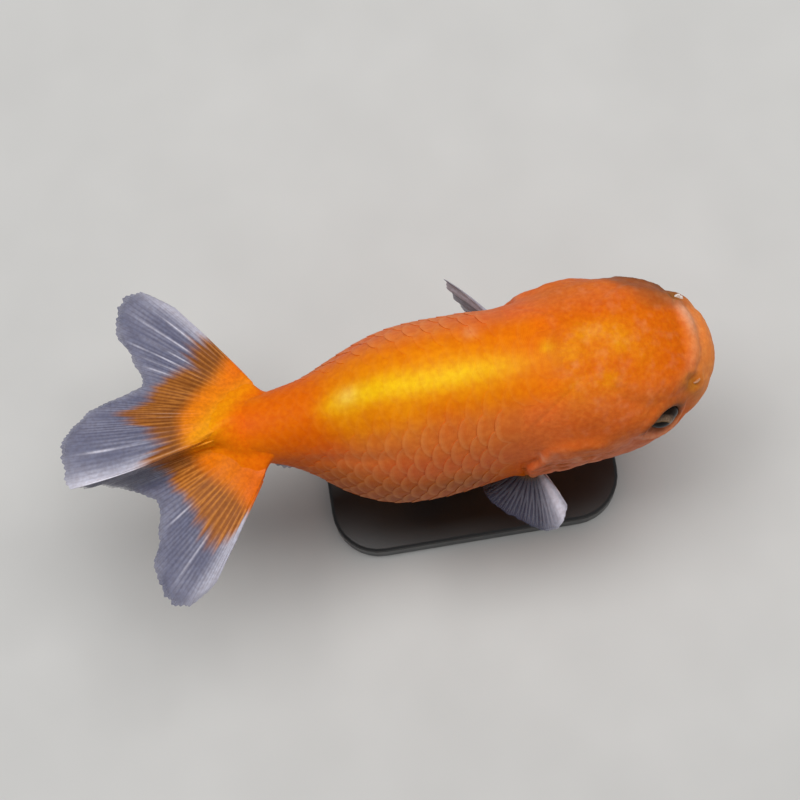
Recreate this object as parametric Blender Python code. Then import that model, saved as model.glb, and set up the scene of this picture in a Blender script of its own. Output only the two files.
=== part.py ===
"""A ranchu goldfish, life size, held on a small display stand.

The fish swims towards +X with its left side towards +Y. The origin lies on the table, under the
middle of the stand. Lengths are written in millimetres and turned into metres by MM. Along the
fish, places are given as the distance behind the tip of the snout, the side and the level above
the mouth, which place() turns into the model's own frame.
"""

import math

import bmesh
import bpy
from mathutils import Matrix, Vector

MM = 0.001

# The fish
BODY_LENGTH = 115.5
SNOUT_AHEAD = 58.0  # from the stand's middle forward to the tip of the snout
MOUTH_LEVEL = 58.0  # height of the mouth above the table
GAP = 0.3  # between pieces that touch
SEAM = GAP / 2

# distance behind the snout, half width, level of the widest point, level of the back, of the belly
BODY_STATIONS = (
    (0.0, 12.2, -0.5, 12.0, -10.0),
    (6.0, 13.2, 1.5, 14.4, -12.5),
    (14.0, 17.2, 4.5, 18.8, -16.5),
    (24.0, 19.2, 6.5, 22.2, -20.5),
    (34.0, 19.0, 6.0, 24.4, -24.5),
    (46.0, 18.4, -0.5, 25.6, -28.0),
    (58.0, 19.4, -6.5, 26.0, -30.2),
    (68.0, 20.0, -9.5, 25.0, -30.5),
    (77.0, 19.4, -12.0, 22.3, -28.6),
    (84.0, 17.2, -13.0, 18.8, -24.8),
    (90.0, 14.3, -11.5, 15.6, -19.4),
    (96.0, 10.8, -4.5, 12.8, -12.7),
    (103.0, 8.6, 1.0, 10.4, -8.0),
    (110.0, 7.4, 2.4, 9.2, -5.6),
    (116.0, 6.8, 2.6, 8.6, -4.4),
)
HEAD_TURN = 0.0010  # the head turns to the left by this much sideways for each squared millimetre
TURN_START = 52.0  # and the turn starts here
SNOUT_ROUND = 8.5  # the stretch over which the snout closes
STEM_ROUND = 5.0  # the stretch over which the tail stem closes
HEAD_SQUARENESS = 2.5
TRUNK_SQUARENESS = 2.15
RING_POINTS = 36
RING_STEP = 3.8
SNOUT_RINGS = 4
STEM_RINGS = 3

HEAD_END = 36.0
TRUNK_END = 96.0

# Gill covers
GILL_CENTRE = (34.2, -3.0)
GILL_REACH = (12.8, 16.5)
GILL_RISE = 1.6
GILL_THICKNESS = 3.0

# The crown of the wen
CROWN_CENTRE = (17.4, 13.6)
CROWN_REACH = (12.6, 13.4)
CROWN_TILT = 20.0
CROWN_RISE = 1.1

# Lower jaw
JAW_CENTRE = (3.0, -8.0)
JAW_REACH = (9.0, 6.4, 6.4)

# Eyes
EYE_PLACE = (14.8, 13.0, 6.8)
EYE_RADIUS = 4.9

# Nostril flaps
FLAP_PLACE = (5.4, 9.4, 8.6)
FLAP_HEIGHT = 3.0
FLAP_WIDTH = 2.4
FLAP_THICKNESS = 0.7

# Stand
BASE_LENGTH = 74.0
BASE_WIDTH = 46.0
BASE_THICKNESS = 6.0
BASE_CORNER = 12.0
BASE_EDGE = 0.8
ROD_RADIUS = 2.5
ROD_DEPTH = 7.0  # how far the rod goes into the belly
ROD_BEHIND_SNOUT = 56.0

SKIN = ("goldfish skin", (0.80, 0.20, 0.02), 0.38, 0.15)
GROWTH = ("wen", (0.82, 0.22, 0.03), 0.45, 0.0)
FIN = ("fin", (0.72, 0.62, 0.62), 0.4, 0.0)
EYE = ("eye", (0.05, 0.035, 0.02), 0.1, 0.0)
LACQUER = ("black lacquer", (0.02, 0.02, 0.022), 0.35, 0.0)
STEEL = ("stainless steel", (0.62, 0.62, 0.63), 0.3, 1.0)


def place(behind, side, level):
    """A point of the fish in the model's frame, on the line that turns with the head."""
    turned = side + HEAD_TURN * max(TURN_START - behind, 0.0) ** 2
    return Vector(((SNOUT_AHEAD - behind) * MM, turned * MM, (MOUTH_LEVEL + level) * MM))


def ease(low, high, value):
    """Rises smoothly from 0 at low to 1 at high."""
    share = min(1.0, max(0.0, (value - low) / (high - low)))
    return share * share * (3 - 2 * share)


def blend(a, b, share):
    return a + (b - a) * share


def along(rows, place_in_row):
    """The other columns of rows there, on a smooth curve through them. The first column rises."""
    k = max(i for i in range(len(rows) - 1) if rows[i][0] <= place_in_row or i == 0)
    before, start, end, after = (rows[min(max(i, 0), len(rows) - 1)] for i in (k - 1, k, k + 1, k + 2))
    span = end[0] - start[0]
    t = (place_in_row - start[0]) / span
    values = []
    for column in range(1, len(start)):
        slope_in = (end[column] - before[column]) / (end[0] - before[0]) * span
        slope_out = (after[column] - start[column]) / (after[0] - start[0]) * span
        values.append(
            (2 * t**3 - 3 * t**2 + 1) * start[column]
            + (t**3 - 2 * t**2 + t) * slope_in
            + (3 * t**2 - 2 * t**3) * end[column]
            + (t**3 - t**2) * slope_out
        )
    return values


def closing(distance, stretch):
    """How far a round end has opened at this distance from its tip."""
    if distance >= stretch:
        return 1.0
    return math.sqrt(1 - (1 - distance / stretch) ** 2)


def signed_power(value, power):
    return math.copysign(abs(value) ** power, value)


def body_point(behind, angle, gill_rise, crown_rise):
    """A point of the body's surface. The angle runs from the left side over the back."""
    half_width, widest, back, belly = along(BODY_STATIONS, behind)
    opened = closing(behind, SNOUT_ROUND) * closing(BODY_LENGTH - behind, STEM_ROUND)
    power = 2 / blend(HEAD_SQUARENESS, TRUNK_SQUARENESS, ease(20, 48, behind))
    across, upward = math.cos(angle), math.sin(angle)
    height = back - widest if upward > 0 else widest - belly
    side = half_width * opened * signed_power(across, power)
    level = widest + height * opened * signed_power(upward, power)
    fullness = ease(17, 36, behind) * ease(60, 50, behind) if behind < 50 else ease(60, 50, behind)
    side += math.copysign(gill_rise * fullness, across) * abs(across) ** 0.5
    return place(behind, side, level + crown_rise * max(upward, 0.0))


def ring_places():
    """Distances behind the snout at which the body is cut into rings."""
    snout = [SNOUT_ROUND * (1 - math.cos(math.pi / 2 * k / SNOUT_RINGS)) for k in range(1, SNOUT_RINGS + 1)]
    stem = [
        BODY_LENGTH - STEM_ROUND * (1 - math.cos(math.pi / 2 * k / STEM_RINGS))
        for k in range(STEM_RINGS, 0, -1)
    ]
    count = round((stem[0] - snout[-1]) / RING_STEP)
    middle = [blend(snout[-1], stem[0], k / count) for k in range(1, count)]
    return snout + middle + stem


def body_mesh(name, gill_rise=0.0, crown_rise=0.0, grown=0.0):
    """The whole body as one closed skin. Grown moves it outwards by that many millimetres."""
    shape = bmesh.new()
    rings = []
    for behind in ring_places():
        angles = [2 * math.pi * k / RING_POINTS for k in range(RING_POINTS)]
        rings.append([shape.verts.new(body_point(behind, a, gill_rise, crown_rise)) for a in angles])
    snout_tip = shape.verts.new(body_point(0.0, 0.0, 0.0, 0.0))
    stem_tip = shape.verts.new(body_point(BODY_LENGTH, 0.0, 0.0, 0.0))
    for k in range(RING_POINTS):
        after = (k + 1) % RING_POINTS
        shape.faces.new((snout_tip, rings[0][k], rings[0][after]))
        shape.faces.new((stem_tip, rings[-1][after], rings[-1][k]))
        for front, rear in zip(rings, rings[1:]):
            shape.faces.new((front[k], rear[k], rear[after], front[after]))
    bmesh.ops.triangulate(shape, faces=shape.faces)
    bmesh.ops.recalc_face_normals(shape, faces=shape.faces)
    if grown:
        shape.normal_update()
        moves = [(vert, vert.normal * grown * MM) for vert in shape.verts]
        for vert, move in moves:
            vert.co += move
    return finished(name, shape)


def finished(name, shape):
    """Turns a bmesh into a named object in the scene."""
    mesh = bpy.data.meshes.new(name)
    shape.to_mesh(mesh)
    shape.free()
    part = bpy.data.objects.new(name, mesh)
    bpy.context.scene.collection.objects.link(part)
    return part


def ellipsoid(name, centre, reach, segments=16, rings=10):
    """A closed ball stretched to the three half lengths in reach, in millimetres."""
    shape = bmesh.new()
    bmesh.ops.create_uvsphere(shape, u_segments=segments, v_segments=rings, radius=1.0)
    bmesh.ops.scale(shape, vec=[r * MM for r in reach], verts=shape.verts)
    bmesh.ops.translate(shape, vec=centre, verts=shape.verts)
    return finished(name, shape)


def drum(name, centre, reach, length, turn, segments=30):
    """A closed elliptical drum whose own axis is Z before the turn."""
    shape = bmesh.new()
    bmesh.ops.create_cone(
        shape, cap_ends=True, segments=segments, radius1=1.0, radius2=1.0, depth=length * MM
    )
    bmesh.ops.scale(shape, vec=(reach[0] * MM, reach[1] * MM, 1.0), verts=shape.verts)
    bmesh.ops.transform(shape, matrix=Matrix.Translation(centre) @ turn.to_4x4(), verts=shape.verts)
    return finished(name, shape)


def slab(name, start, end):
    """A box wider and taller than the fish, from one distance behind the snout to another."""
    shape = bmesh.new()
    bmesh.ops.create_cube(shape, size=1.0)
    bmesh.ops.scale(shape, vec=((end - start) * MM, 100 * MM, 120 * MM), verts=shape.verts)
    bmesh.ops.translate(shape, vec=place((start + end) / 2, 0, 0), verts=shape.verts)
    return finished(name, shape)


def as_cutter(part):
    part.hide_render = True
    part.display_type = "WIRE"
    return part


def cut(part, other, operation="DIFFERENCE"):
    """Cuts part with other, or keeps only what the two share."""
    step = part.modifiers.new(f"{operation.lower()} {other.name}", "BOOLEAN")
    step.object = other
    step.operation = operation
    step.solver = "EXACT"
    return part


def paint(part, look, smooth_angle=40.0):
    name, colour, roughness, metallic = look
    material = bpy.data.materials.get(name)
    if material is None:
        material = bpy.data.materials.new(name)
        material.use_nodes = True
        shader = material.node_tree.nodes["Principled BSDF"]
        shader.inputs["Base Color"].default_value = (*colour, 1.0)
        shader.inputs["Roughness"].default_value = roughness
        shader.inputs["Metallic"].default_value = metallic
    part.data.materials.append(material)
    part.data.shade_smooth()
    part.data.set_sharp_from_angle(angle=math.radians(smooth_angle))
    return part


def sides():
    """The fish's two sides, by name and by sign along Y."""
    return (("left", 1), ("right", -1))


def make_cutters():
    """Helpers that part the body. Each wide one leaves the gap around the piece it makes room for."""
    gill_turn = Matrix.Rotation(math.pi / 2, 3, "X")
    crown_turn = Matrix.Rotation(math.radians(CROWN_TILT), 3, "Y")
    crown_length = 40.0
    crown_lift = crown_turn @ Vector((0, 0, crown_length / 2 * MM))
    crown_floor = place(CROWN_CENTRE[0], 0, CROWN_CENTRE[1])
    cutters = {
        "inside": body_mesh("inside", grown=-GILL_THICKNESS),
        "deep_inside": body_mesh("deep_inside", grown=-GILL_THICKNESS - GAP),
        "around": body_mesh("around", gill_rise=GILL_RISE, crown_rise=CROWN_RISE, grown=GAP),
        "front": slab("front", -10, HEAD_END + SEAM),
        "rear_of_head": slab("rear_of_head", HEAD_END - SEAM, 130),
        "rear_of_trunk": slab("rear_of_trunk", TRUNK_END - SEAM, 130),
        "ahead_of_stem": slab("ahead_of_stem", -10, TRUNK_END + SEAM),
        "jaw": ellipsoid("jaw", place(JAW_CENTRE[0], 0, JAW_CENTRE[1]), JAW_REACH),
        "jaw_room": ellipsoid(
            "jaw_room", place(JAW_CENTRE[0], 0, JAW_CENTRE[1]), [r + GAP for r in JAW_REACH]
        ),
        "crown": drum("crown", crown_floor + crown_lift, CROWN_REACH, crown_length, crown_turn),
        "crown_room": drum(
            "crown_room",
            crown_floor + crown_lift,
            [r + GAP for r in CROWN_REACH],
            crown_length + 2 * GAP,
            crown_turn,
        ),
        "rod_socket": drum(
            "rod_socket",
            place(ROD_BEHIND_SNOUT, 0, along(BODY_STATIONS, ROD_BEHIND_SNOUT)[3] + ROD_DEPTH - 15.0),
            (ROD_RADIUS + GAP, ROD_RADIUS + GAP),
            30.0,
            Matrix.Identity(3),
            20,
        ),
    }
    both_gills = place(GILL_CENTRE[0], 0, GILL_CENTRE[1])
    room = drum("gill_room", both_gills, [r + GAP for r in GILL_REACH], 60, gill_turn)
    cutters["gill_room"] = cut(room, cutters["deep_inside"])
    for side, sign in sides():
        middle = place(GILL_CENTRE[0], sign * 15, GILL_CENTRE[1])
        cutters[f"gill_{side}"] = drum(f"gill_{side}", middle, GILL_REACH, 24, gill_turn)
        eye = place(EYE_PLACE[0], sign * EYE_PLACE[1], EYE_PLACE[2])
        cutters[f"socket_{side}"] = ellipsoid(f"socket_{side}", eye, [EYE_RADIUS + GAP] * 3)
    for helper in cutters.values():
        as_cutter(helper)
    return cutters


def make_head(cutters):
    head = body_mesh("head")
    for helper in ("gill_room", "rear_of_head", "crown_room", "jaw_room", "socket_left", "socket_right"):
        cut(head, cutters[helper])
    paint(head, SKIN)
    paint(cut(body_mesh("jaw_lower"), cutters["jaw"], "INTERSECT"), SKIN)
    paint(cut(body_mesh("wen_crown", crown_rise=CROWN_RISE), cutters["crown"], "INTERSECT"), GROWTH)


def make_trunk(cutters):
    trunk = body_mesh("trunk")
    for helper in ("gill_room", "front", "rear_of_trunk", "rod_socket"):
        cut(trunk, cutters[helper])
    paint(trunk, SKIN)
    paint(cut(body_mesh("tail_stem"), cutters["ahead_of_stem"]), SKIN)


def make_gill_covers(cutters):
    for side, _ in sides():
        cover = body_mesh(f"gill_cover_{side}", gill_rise=GILL_RISE)
        cut(cover, cutters[f"gill_{side}"], "INTERSECT")
        cut(cover, cutters["inside"])
        paint(cover, SKIN)


def make_eyes():
    for side, sign in sides():
        centre = place(EYE_PLACE[0], sign * EYE_PLACE[1], EYE_PLACE[2])
        paint(ellipsoid(f"eye_{side}", centre, [EYE_RADIUS] * 3), EYE)


# A fin is a fan of rays. Azimuth turns a ray from straight back (0) to straight out (90), and
# elevation lifts it. Rays run from the fin's first ray (share 0) to its last (share 1).
RAY_STEPS = 6


def fan_surface(roots, direction, length, columns, sign, steps=RAY_STEPS):
    """Rows of points along each ray: roots(share) is where it leaves the body, direction(share, run)
    its azimuth and elevation after a share of its run, and length(share) how long it is."""
    fan = []
    for column in range(columns):
        share = column / (columns - 1)
        behind, side, level = roots(share)
        points = [(behind, side, level)]
        step = length(share) / steps
        for k in range(steps):
            azimuth, elevation = (math.radians(a) for a in direction(share, (k + 0.5) / steps))
            behind += step * math.cos(elevation) * math.cos(azimuth)
            side += sign * step * math.cos(elevation) * math.sin(azimuth)
            level += step * math.sin(elevation)
            points.append((behind, side, level))
        fan.append([place(*point) for point in points])
    return fan


def fin_object(name, fan, thickness, thin, cutters, sign):
    """A solid fin about its middle surface, thinning to the share thin at its edge, and cut clear
    of the body."""
    shape = bmesh.new()
    verts = [[shape.verts.new(point) for point in ray] for ray in fan]
    for a, b in zip(verts, verts[1:]):
        for k in range(len(a) - 1):
            shape.faces.new((a[k], a[k + 1], b[k + 1], b[k]))
    if sign < 0:
        bmesh.ops.reverse_faces(shape, faces=shape.faces)
    bmesh.ops.triangulate(shape, faces=shape.faces)
    part = finished(name, shape)
    depth = part.vertex_groups.new(name="depth")
    steps = len(fan[0]) - 1
    for vertex in part.data.vertices:
        run = (vertex.index % (steps + 1)) / steps
        depth.add([vertex.index], blend(1.0, thin, run ** 0.6), "REPLACE")
    solid = part.modifiers.new("thickness", "SOLIDIFY")
    solid.thickness = thickness * MM
    solid.offset = 0.0
    solid.vertex_group = depth.name
    cut(part, cutters["around"])
    return paint(part, FIN)


def mixed(first, last):
    """A function that runs evenly from the first group of numbers to the last."""
    return lambda share: tuple(blend(a, b, share) for a, b in zip(first, last))


# Tail fin: each half runs from the crest (share 0), past the notch, to the leading edge (share 1)
TAIL_CREST_ROOT = (111.0, 0.6, 6.8)
TAIL_LEAD_ROOT = (103.0, 6.0, 3.0)
TAIL_THICKNESS = 1.8
TAIL_THIN = 0.36
TAIL_NOTCH_SHARE = 0.52
TAIL_COLUMNS = 13
# share, azimuth, elevation, length and curl of the rays that give each half its outline
TAIL_RAYS = {
    "left": (
        (0.00, -14.2, 5.6, 40.2, -16.0),
        (0.16, 0.2, 4.2, 41.0, -6.0),
        (0.32, 8.9, 2.0, 37.4, 0.0),
        (0.43, 14.9, 0.5, 32.6, 0.0),
        (0.52, 23.6, -2.5, 27.0, 2.0),
        (0.62, 33.0, -6.0, 32.4, 4.0),
        (0.72, 39.0, -7.0, 40.4, 6.0),
        (0.82, 46.5, -7.0, 44.4, 7.0),
        (0.91, 52.0, -7.0, 42.4, 6.0),
        (1.00, 55.5, -7.0, 34.0, 4.0),
    ),
    "right": (
        (0.00, 13.6, 5.0, 39.8, 16.0),
        (0.16, 10.5, -3.0, 38.6, 8.0),
        (0.32, 8.0, -12.0, 36.4, 2.0),
        (0.43, 11.5, -14.5, 32.4, 0.0),
        (0.52, 22.0, -9.0, 27.4, 2.0),
        (0.62, 33.0, -6.0, 31.4, 4.0),
        (0.72, 39.5, -7.0, 38.0, 6.0),
        (0.82, 47.5, -7.0, 41.8, 7.0),
        (0.91, 53.0, -7.0, 40.4, 6.0),
        (1.00, 56.5, -7.0, 33.0, 4.0),
    ),
}
RAY_LIFT = 6.0  # how far every ray of the tail droops from its root to its tip


def make_tail(cutters):
    for side, sign in sides():
        first = (TAIL_CREST_ROOT[0], sign * TAIL_CREST_ROOT[1], TAIL_CREST_ROOT[2])
        last = (TAIL_LEAD_ROOT[0], sign * TAIL_LEAD_ROOT[1], TAIL_LEAD_ROOT[2])
        roots = mixed(first, last)
        rays = TAIL_RAYS[side]
        half_gap = 0.008
        lobes = (
            ("upper", 0.0, TAIL_NOTCH_SHARE - half_gap),
            ("side", TAIL_NOTCH_SHARE + half_gap, 1.0),
        )
        for lobe, start, end in lobes:

            def direction(share, run, start=start, end=end):
                whole = blend(start, end, share)
                azimuth, elevation, _, curl = along(rays, whole)
                return azimuth + curl * (0.5 - run), elevation + RAY_LIFT * (0.5 - run)

            fan = fan_surface(
                lambda share: roots(blend(start, end, share)),
                direction,
                lambda share: along(rays, blend(start, end, share))[2],
                round(TAIL_COLUMNS * (end - start)) + 1,
                sign,
            )
            fin_object(f"tail_fin_{side}_{lobe}", fan, TAIL_THICKNESS, TAIL_THIN, cutters, sign)


# The smaller fins: share, azimuth, elevation and length of the rays that give each its outline
PECTORAL_ROOTS = ((44.0, 15.8, -10.8), (46.0, 15.2, -13.6))
PELVIC_ROOTS = ((58.5, 7.5, -27.0), (62.5, 5.5, -27.5))
ANAL_ROOTS = ((92.0, 2.0, -13.5), (98.5, 1.8, -8.0))
SMALL_FINS = {
    "pectoral_fin_left": (
        PECTORAL_ROOTS,
        ((0.0, 51.0, 1.0, 22.0), (0.5, 55.0, -32.0, 19.0), (1.0, 60.0, -62.0, 12.5)),
    ),
    "pectoral_fin_right": (
        PECTORAL_ROOTS,
        (
            (0.0, 116.0, -2.0, 12.5),
            (0.28, 98.0, -4.0, 16.5),
            (0.64, 64.0, -12.0, 13.0),
            (1.0, 12.0, -22.0, 12.5),
        ),
    ),
    "pelvic_fin_left": (
        PELVIC_ROOTS,
        ((0.0, 26.0, -26.0, 18.0), (0.4, 18.0, -28.0, 18.5), (1.0, 4.0, -24.0, 11.0)),
    ),
    "pelvic_fin_right": (
        PELVIC_ROOTS,
        ((0.0, 20.0, -24.0, 18.5), (0.4, 14.0, -26.0, 19.0), (1.0, 4.0, -24.0, 11.0)),
    ),
    "anal_fin_left": (ANAL_ROOTS, ((0.0, 8.0, -44.0, 14.0), (1.0, 5.0, -14.0, 10.0))),
    "anal_fin_right": (ANAL_ROOTS, ((0.0, 12.0, -42.0, 14.0), (1.0, 7.0, -14.0, 10.0))),
}
SMALL_FIN_THICKNESS = 1.1
SMALL_FIN_THIN = 0.5
SMALL_FIN_COLUMNS = 7
SMALL_FIN_CURL = 10.0


def make_small_fins(cutters):
    for name, ((first_root, last_root), rays) in SMALL_FINS.items():
        sign = 1 if name.endswith("left") else -1
        roots = mixed(
            (first_root[0], sign * first_root[1], first_root[2]),
            (last_root[0], sign * last_root[1], last_root[2]),
        )

        def direction(share, run, rays=rays):
            azimuth, elevation, _ = along(rays, share)
            return azimuth + SMALL_FIN_CURL * (0.5 - run), elevation + SMALL_FIN_CURL * (0.5 - run)

        fan = fan_surface(
            roots,
            direction,
            lambda share: along(rays, share)[2],
            SMALL_FIN_COLUMNS,
            sign,
        )
        fin_object(name, fan, SMALL_FIN_THICKNESS, SMALL_FIN_THIN, cutters, sign)


def make_nostril_flaps(cutters):
    """A small upright petal of flesh at each nostril."""
    for side, sign in sides():
        roots = mixed((FLAP_PLACE[0], 0.0, 0.0), (FLAP_PLACE[0] + FLAP_WIDTH, 0.0, 0.0))
        fan = fan_surface(
            lambda share: (roots(share)[0], sign * (FLAP_PLACE[1] + 0.5 * share), FLAP_PLACE[2]),
            lambda share, run: (blend(130, 60, share), 42.0),
            lambda share: FLAP_HEIGHT + 1.0 * math.sin(math.pi * share),
            5,
            sign,
            4,
        )
        fin_object(f"nostril_flap_{side}", fan, FLAP_THICKNESS, 0.9, cutters, sign)


def make_stand(cutters):
    shape = bmesh.new()
    bmesh.ops.create_cube(shape, size=1.0)
    size = (BASE_LENGTH * MM, BASE_WIDTH * MM, BASE_THICKNESS * MM)
    bmesh.ops.scale(shape, vec=size, verts=shape.verts)
    bmesh.ops.translate(shape, vec=(0, 0, BASE_THICKNESS / 2 * MM), verts=shape.verts)
    upright = [e for e in shape.edges if abs(e.verts[0].co.z - e.verts[1].co.z) > BASE_THICKNESS / 2 * MM]
    bmesh.ops.bevel(
        shape, geom=upright, offset=BASE_CORNER * MM, segments=8, profile=0.5, affect="EDGES"
    )
    rim = [
        e
        for e in shape.edges
        if min(v.co.z for v in e.verts) > (BASE_THICKNESS - 0.01) * MM
    ]
    bmesh.ops.bevel(shape, geom=rim, offset=BASE_EDGE * MM, segments=2, profile=0.5, affect="EDGES")
    paint(finished("stand_base", shape), LACQUER, 30)
    rod_top = MOUTH_LEVEL + along(BODY_STATIONS, ROD_BEHIND_SNOUT)[3] + ROD_DEPTH - GAP
    rod_foot = BASE_THICKNESS + GAP
    middle = place(ROD_BEHIND_SNOUT, 0, (rod_top + rod_foot) / 2 - MOUTH_LEVEL)
    rod = drum("stand_rod", middle, (ROD_RADIUS, ROD_RADIUS), rod_top - rod_foot, Matrix.Identity(3), 20)
    paint(rod, STEEL, 30)


def main():
    for old in list(bpy.data.objects):
        bpy.data.objects.remove(old)
    cutters = make_cutters()
    make_head(cutters)
    make_trunk(cutters)
    make_gill_covers(cutters)
    make_eyes()
    make_nostril_flaps(cutters)
    make_small_fins(cutters)
    make_tail(cutters)
    make_stand(cutters)


main()
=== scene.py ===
"""A ranchu goldfish, life size, on a plain display stand: its skin, scales, fins, eyes and stand.

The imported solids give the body's form, the eyes, the nostril flaps and the stand. One skin is drawn
over the pieces of flesh, scales lie on it as small plates, and each fin is a thin sheet with its
rays raised. Along the fish, lengths are in millimetres and places are (behind the snout, side,
level above the mouth), as in the solids.
"""

import math

import bmesh
import bpy
import numpy as np
from mathutils import Matrix, Vector
from mathutils.bvhtree import BVHTree


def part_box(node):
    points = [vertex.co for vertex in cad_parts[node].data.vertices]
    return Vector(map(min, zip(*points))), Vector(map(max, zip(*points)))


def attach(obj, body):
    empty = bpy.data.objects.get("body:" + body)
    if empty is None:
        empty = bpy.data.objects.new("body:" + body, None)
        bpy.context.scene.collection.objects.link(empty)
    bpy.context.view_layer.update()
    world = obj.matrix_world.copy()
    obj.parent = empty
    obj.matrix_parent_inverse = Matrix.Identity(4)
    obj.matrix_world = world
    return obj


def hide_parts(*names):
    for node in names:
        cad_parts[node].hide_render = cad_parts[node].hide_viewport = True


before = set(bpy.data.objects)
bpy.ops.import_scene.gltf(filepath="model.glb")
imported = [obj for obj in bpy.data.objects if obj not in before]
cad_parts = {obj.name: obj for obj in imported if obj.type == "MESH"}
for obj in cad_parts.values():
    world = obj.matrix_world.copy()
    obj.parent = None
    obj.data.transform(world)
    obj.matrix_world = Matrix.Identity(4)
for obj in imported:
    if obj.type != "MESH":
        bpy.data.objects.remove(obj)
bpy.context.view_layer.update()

MM = 0.001

FLESH = (
    "head", "jaw_lower", "wen_crown", "gill_cover_left", "gill_cover_right", "trunk", "tail_stem",
)
SIDES = (("left", 1), ("right", -1))


# Where things are, read from the solids


def box_middle(node):
    low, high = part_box(node)
    return (Vector(low) + Vector(high)) / 2


EYE_BEHIND = 14.8
EYE_LEVEL = 6.8
EYE_RADIUS = (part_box("eye_left")[1][0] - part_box("eye_left")[0][0]) / 2 / MM
EYES_BETWEEN = (box_middle("eye_left") + box_middle("eye_right")) / 2
SNOUT_X = EYES_BETWEEN.x / MM + EYE_BEHIND
MOUTH_Z = EYES_BETWEEN.z / MM - EYE_LEVEL
TURN_START = 52.0
HEAD_TURN = EYES_BETWEEN.y / MM / (TURN_START - EYE_BEHIND) ** 2
STEM_END = SNOUT_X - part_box("tail_stem")[0][0] / MM


def turned(behind):
    """How far the middle line stands to the left where the head turns."""
    return HEAD_TURN * np.maximum(TURN_START - behind, 0.0) ** 2


def stacked(a, b, c):
    """Three fields, or plain values, as one field of points."""
    return np.stack(np.broadcast_arrays(a, b, c), axis=-1)


def to_model(behind, side, level):
    """Places along the fish as points of the model, in millimetres."""
    return stacked(SNOUT_X - behind, side + turned(behind), MOUTH_Z + level)


def to_fish(points):
    """Points of the model, in millimetres, as places along the fish."""
    behind = SNOUT_X - points[..., 0]
    return behind, points[..., 1] - turned(behind), points[..., 2] - MOUTH_Z


# Small helpers for smooth shapes and patterns


def ease(low, high, value):
    """Rises smoothly from 0 at low to 1 at high."""
    share = np.clip((value - low) / (high - low), 0.0, 1.0)
    return share * share * (3 - 2 * share)


def hump(value, width):
    """A soft bump, 1 at value 0."""
    return np.exp(-((value / width) ** 2))


def blend(a, b, share):
    return a + (b - a) * share


def lattice(cells, seed):
    """A repeatable number from 0 to 1 for each whole-numbered cell."""
    x, y, z = (cells[..., k].astype(np.uint64) for k in range(3))
    h = (x * np.uint64(73856093)) ^ (y * np.uint64(19349663)) ^ (z * np.uint64(83492791))
    h = (h + np.uint64(seed * 2654435761)) & np.uint64(0xFFFFFFFF)
    for _ in range(2):
        h = ((h ^ (h >> np.uint64(15))) * np.uint64(2246822519)) & np.uint64(0xFFFFFFFF)
        h = ((h ^ (h >> np.uint64(13))) * np.uint64(3266489917)) & np.uint64(0xFFFFFFFF)
    return (h & np.uint64(0xFFFFFF)).astype(float) / 0xFFFFFF


def clouds(points, size, seed):
    """Smooth noise from -1 to 1 with features of that size."""
    p = points / size + 1000.0
    base = np.floor(p)
    f = p - base
    f = f * f * (3 - 2 * f)
    base = base.astype(np.int64)
    total = 0.0
    for corner in np.ndindex(2, 2, 2):
        weight = np.prod(np.where(corner, f, 1 - f), axis=-1)
        total = total + weight * lattice(base + np.array(corner), seed)
    return total * 2 - 1


def grains(points, size, seed):
    """Rounded grains of that size: 1 in the middle of a grain, falling to 0 between grains."""
    p = points / size + 1000.0
    base = np.floor(p).astype(np.int64)
    nearest = np.full(p.shape[:-1], 9.0)
    for step in np.ndindex(3, 3, 3):
        cell = base + np.array(step) - 1
        centre = cell + np.stack([lattice(cell, seed + k) for k in range(3)], axis=-1)
        nearest = np.minimum(nearest, np.linalg.norm(p - centre, axis=-1))
    return np.clip(1 - nearest / 0.9, 0.0, 1.0)


def shifted(field, rows, columns):
    """The field moved by whole rows and columns. Columns run round, and end rows repeat."""
    index = np.clip(np.arange(field.shape[0]) + rows, 0, field.shape[0] - 1)
    return np.roll(field[index], -columns, axis=1)


def softened(field, rows, columns):
    """The field blurred by that many rows and columns."""
    for way, sigma in (((1, 0), rows), ((0, 1), columns)):
        reach = int(3 * sigma) + 1
        steps = np.arange(-reach, reach + 1)
        weights = np.exp(-((steps / sigma) ** 2) / 2)
        weights = weights / weights.sum()
        field = sum(w * shifted(field, k * way[0], k * way[1]) for w, k in zip(weights, steps))
    return field


def slits_closed(field, reach):
    """The field with valleys narrower than the reach filled level."""
    for pick in (np.maximum, np.minimum):
        for _ in range(reach):
            around = [shifted(field, *step) for step in ((-1, 0), (1, 0), (0, -1), (0, 1))]
            for other in around:
                field = pick(field, other)
    return field


def curve_through(rows, at):
    """The other columns of rows at each value of the first, on a smooth curve through them."""
    rows = np.array(rows)
    keys, values = rows[:, 0], rows[:, 1:]
    ahead = np.minimum(np.arange(len(keys)) + 1, len(keys) - 1)
    back = np.maximum(np.arange(len(keys)) - 1, 0)
    slopes = (values[ahead] - values[back]) / (keys[ahead] - keys[back])[:, None]
    k = np.clip(np.searchsorted(keys, at, side="right") - 1, 0, len(keys) - 2)
    span = (keys[k + 1] - keys[k])[..., None]
    t = (at - keys[k])[..., None] / span
    return (
        (2 * t**3 - 3 * t**2 + 1) * values[k]
        + (t**3 - 2 * t**2 + t) * slopes[k] * span
        + (3 * t**2 - 2 * t**3) * values[k + 1]
        + (t**3 - t**2) * slopes[k + 1] * span
    )


# Colours


def linear(code):
    """An sRGB hex colour as linear red, green and blue."""
    parts = [int(code[k : k + 2], 16) / 255 for k in (1, 3, 5)]
    return np.array([c / 12.92 if c <= 0.04045 else ((c + 0.055) / 1.055) ** 2.4 for c in parts])


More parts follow.
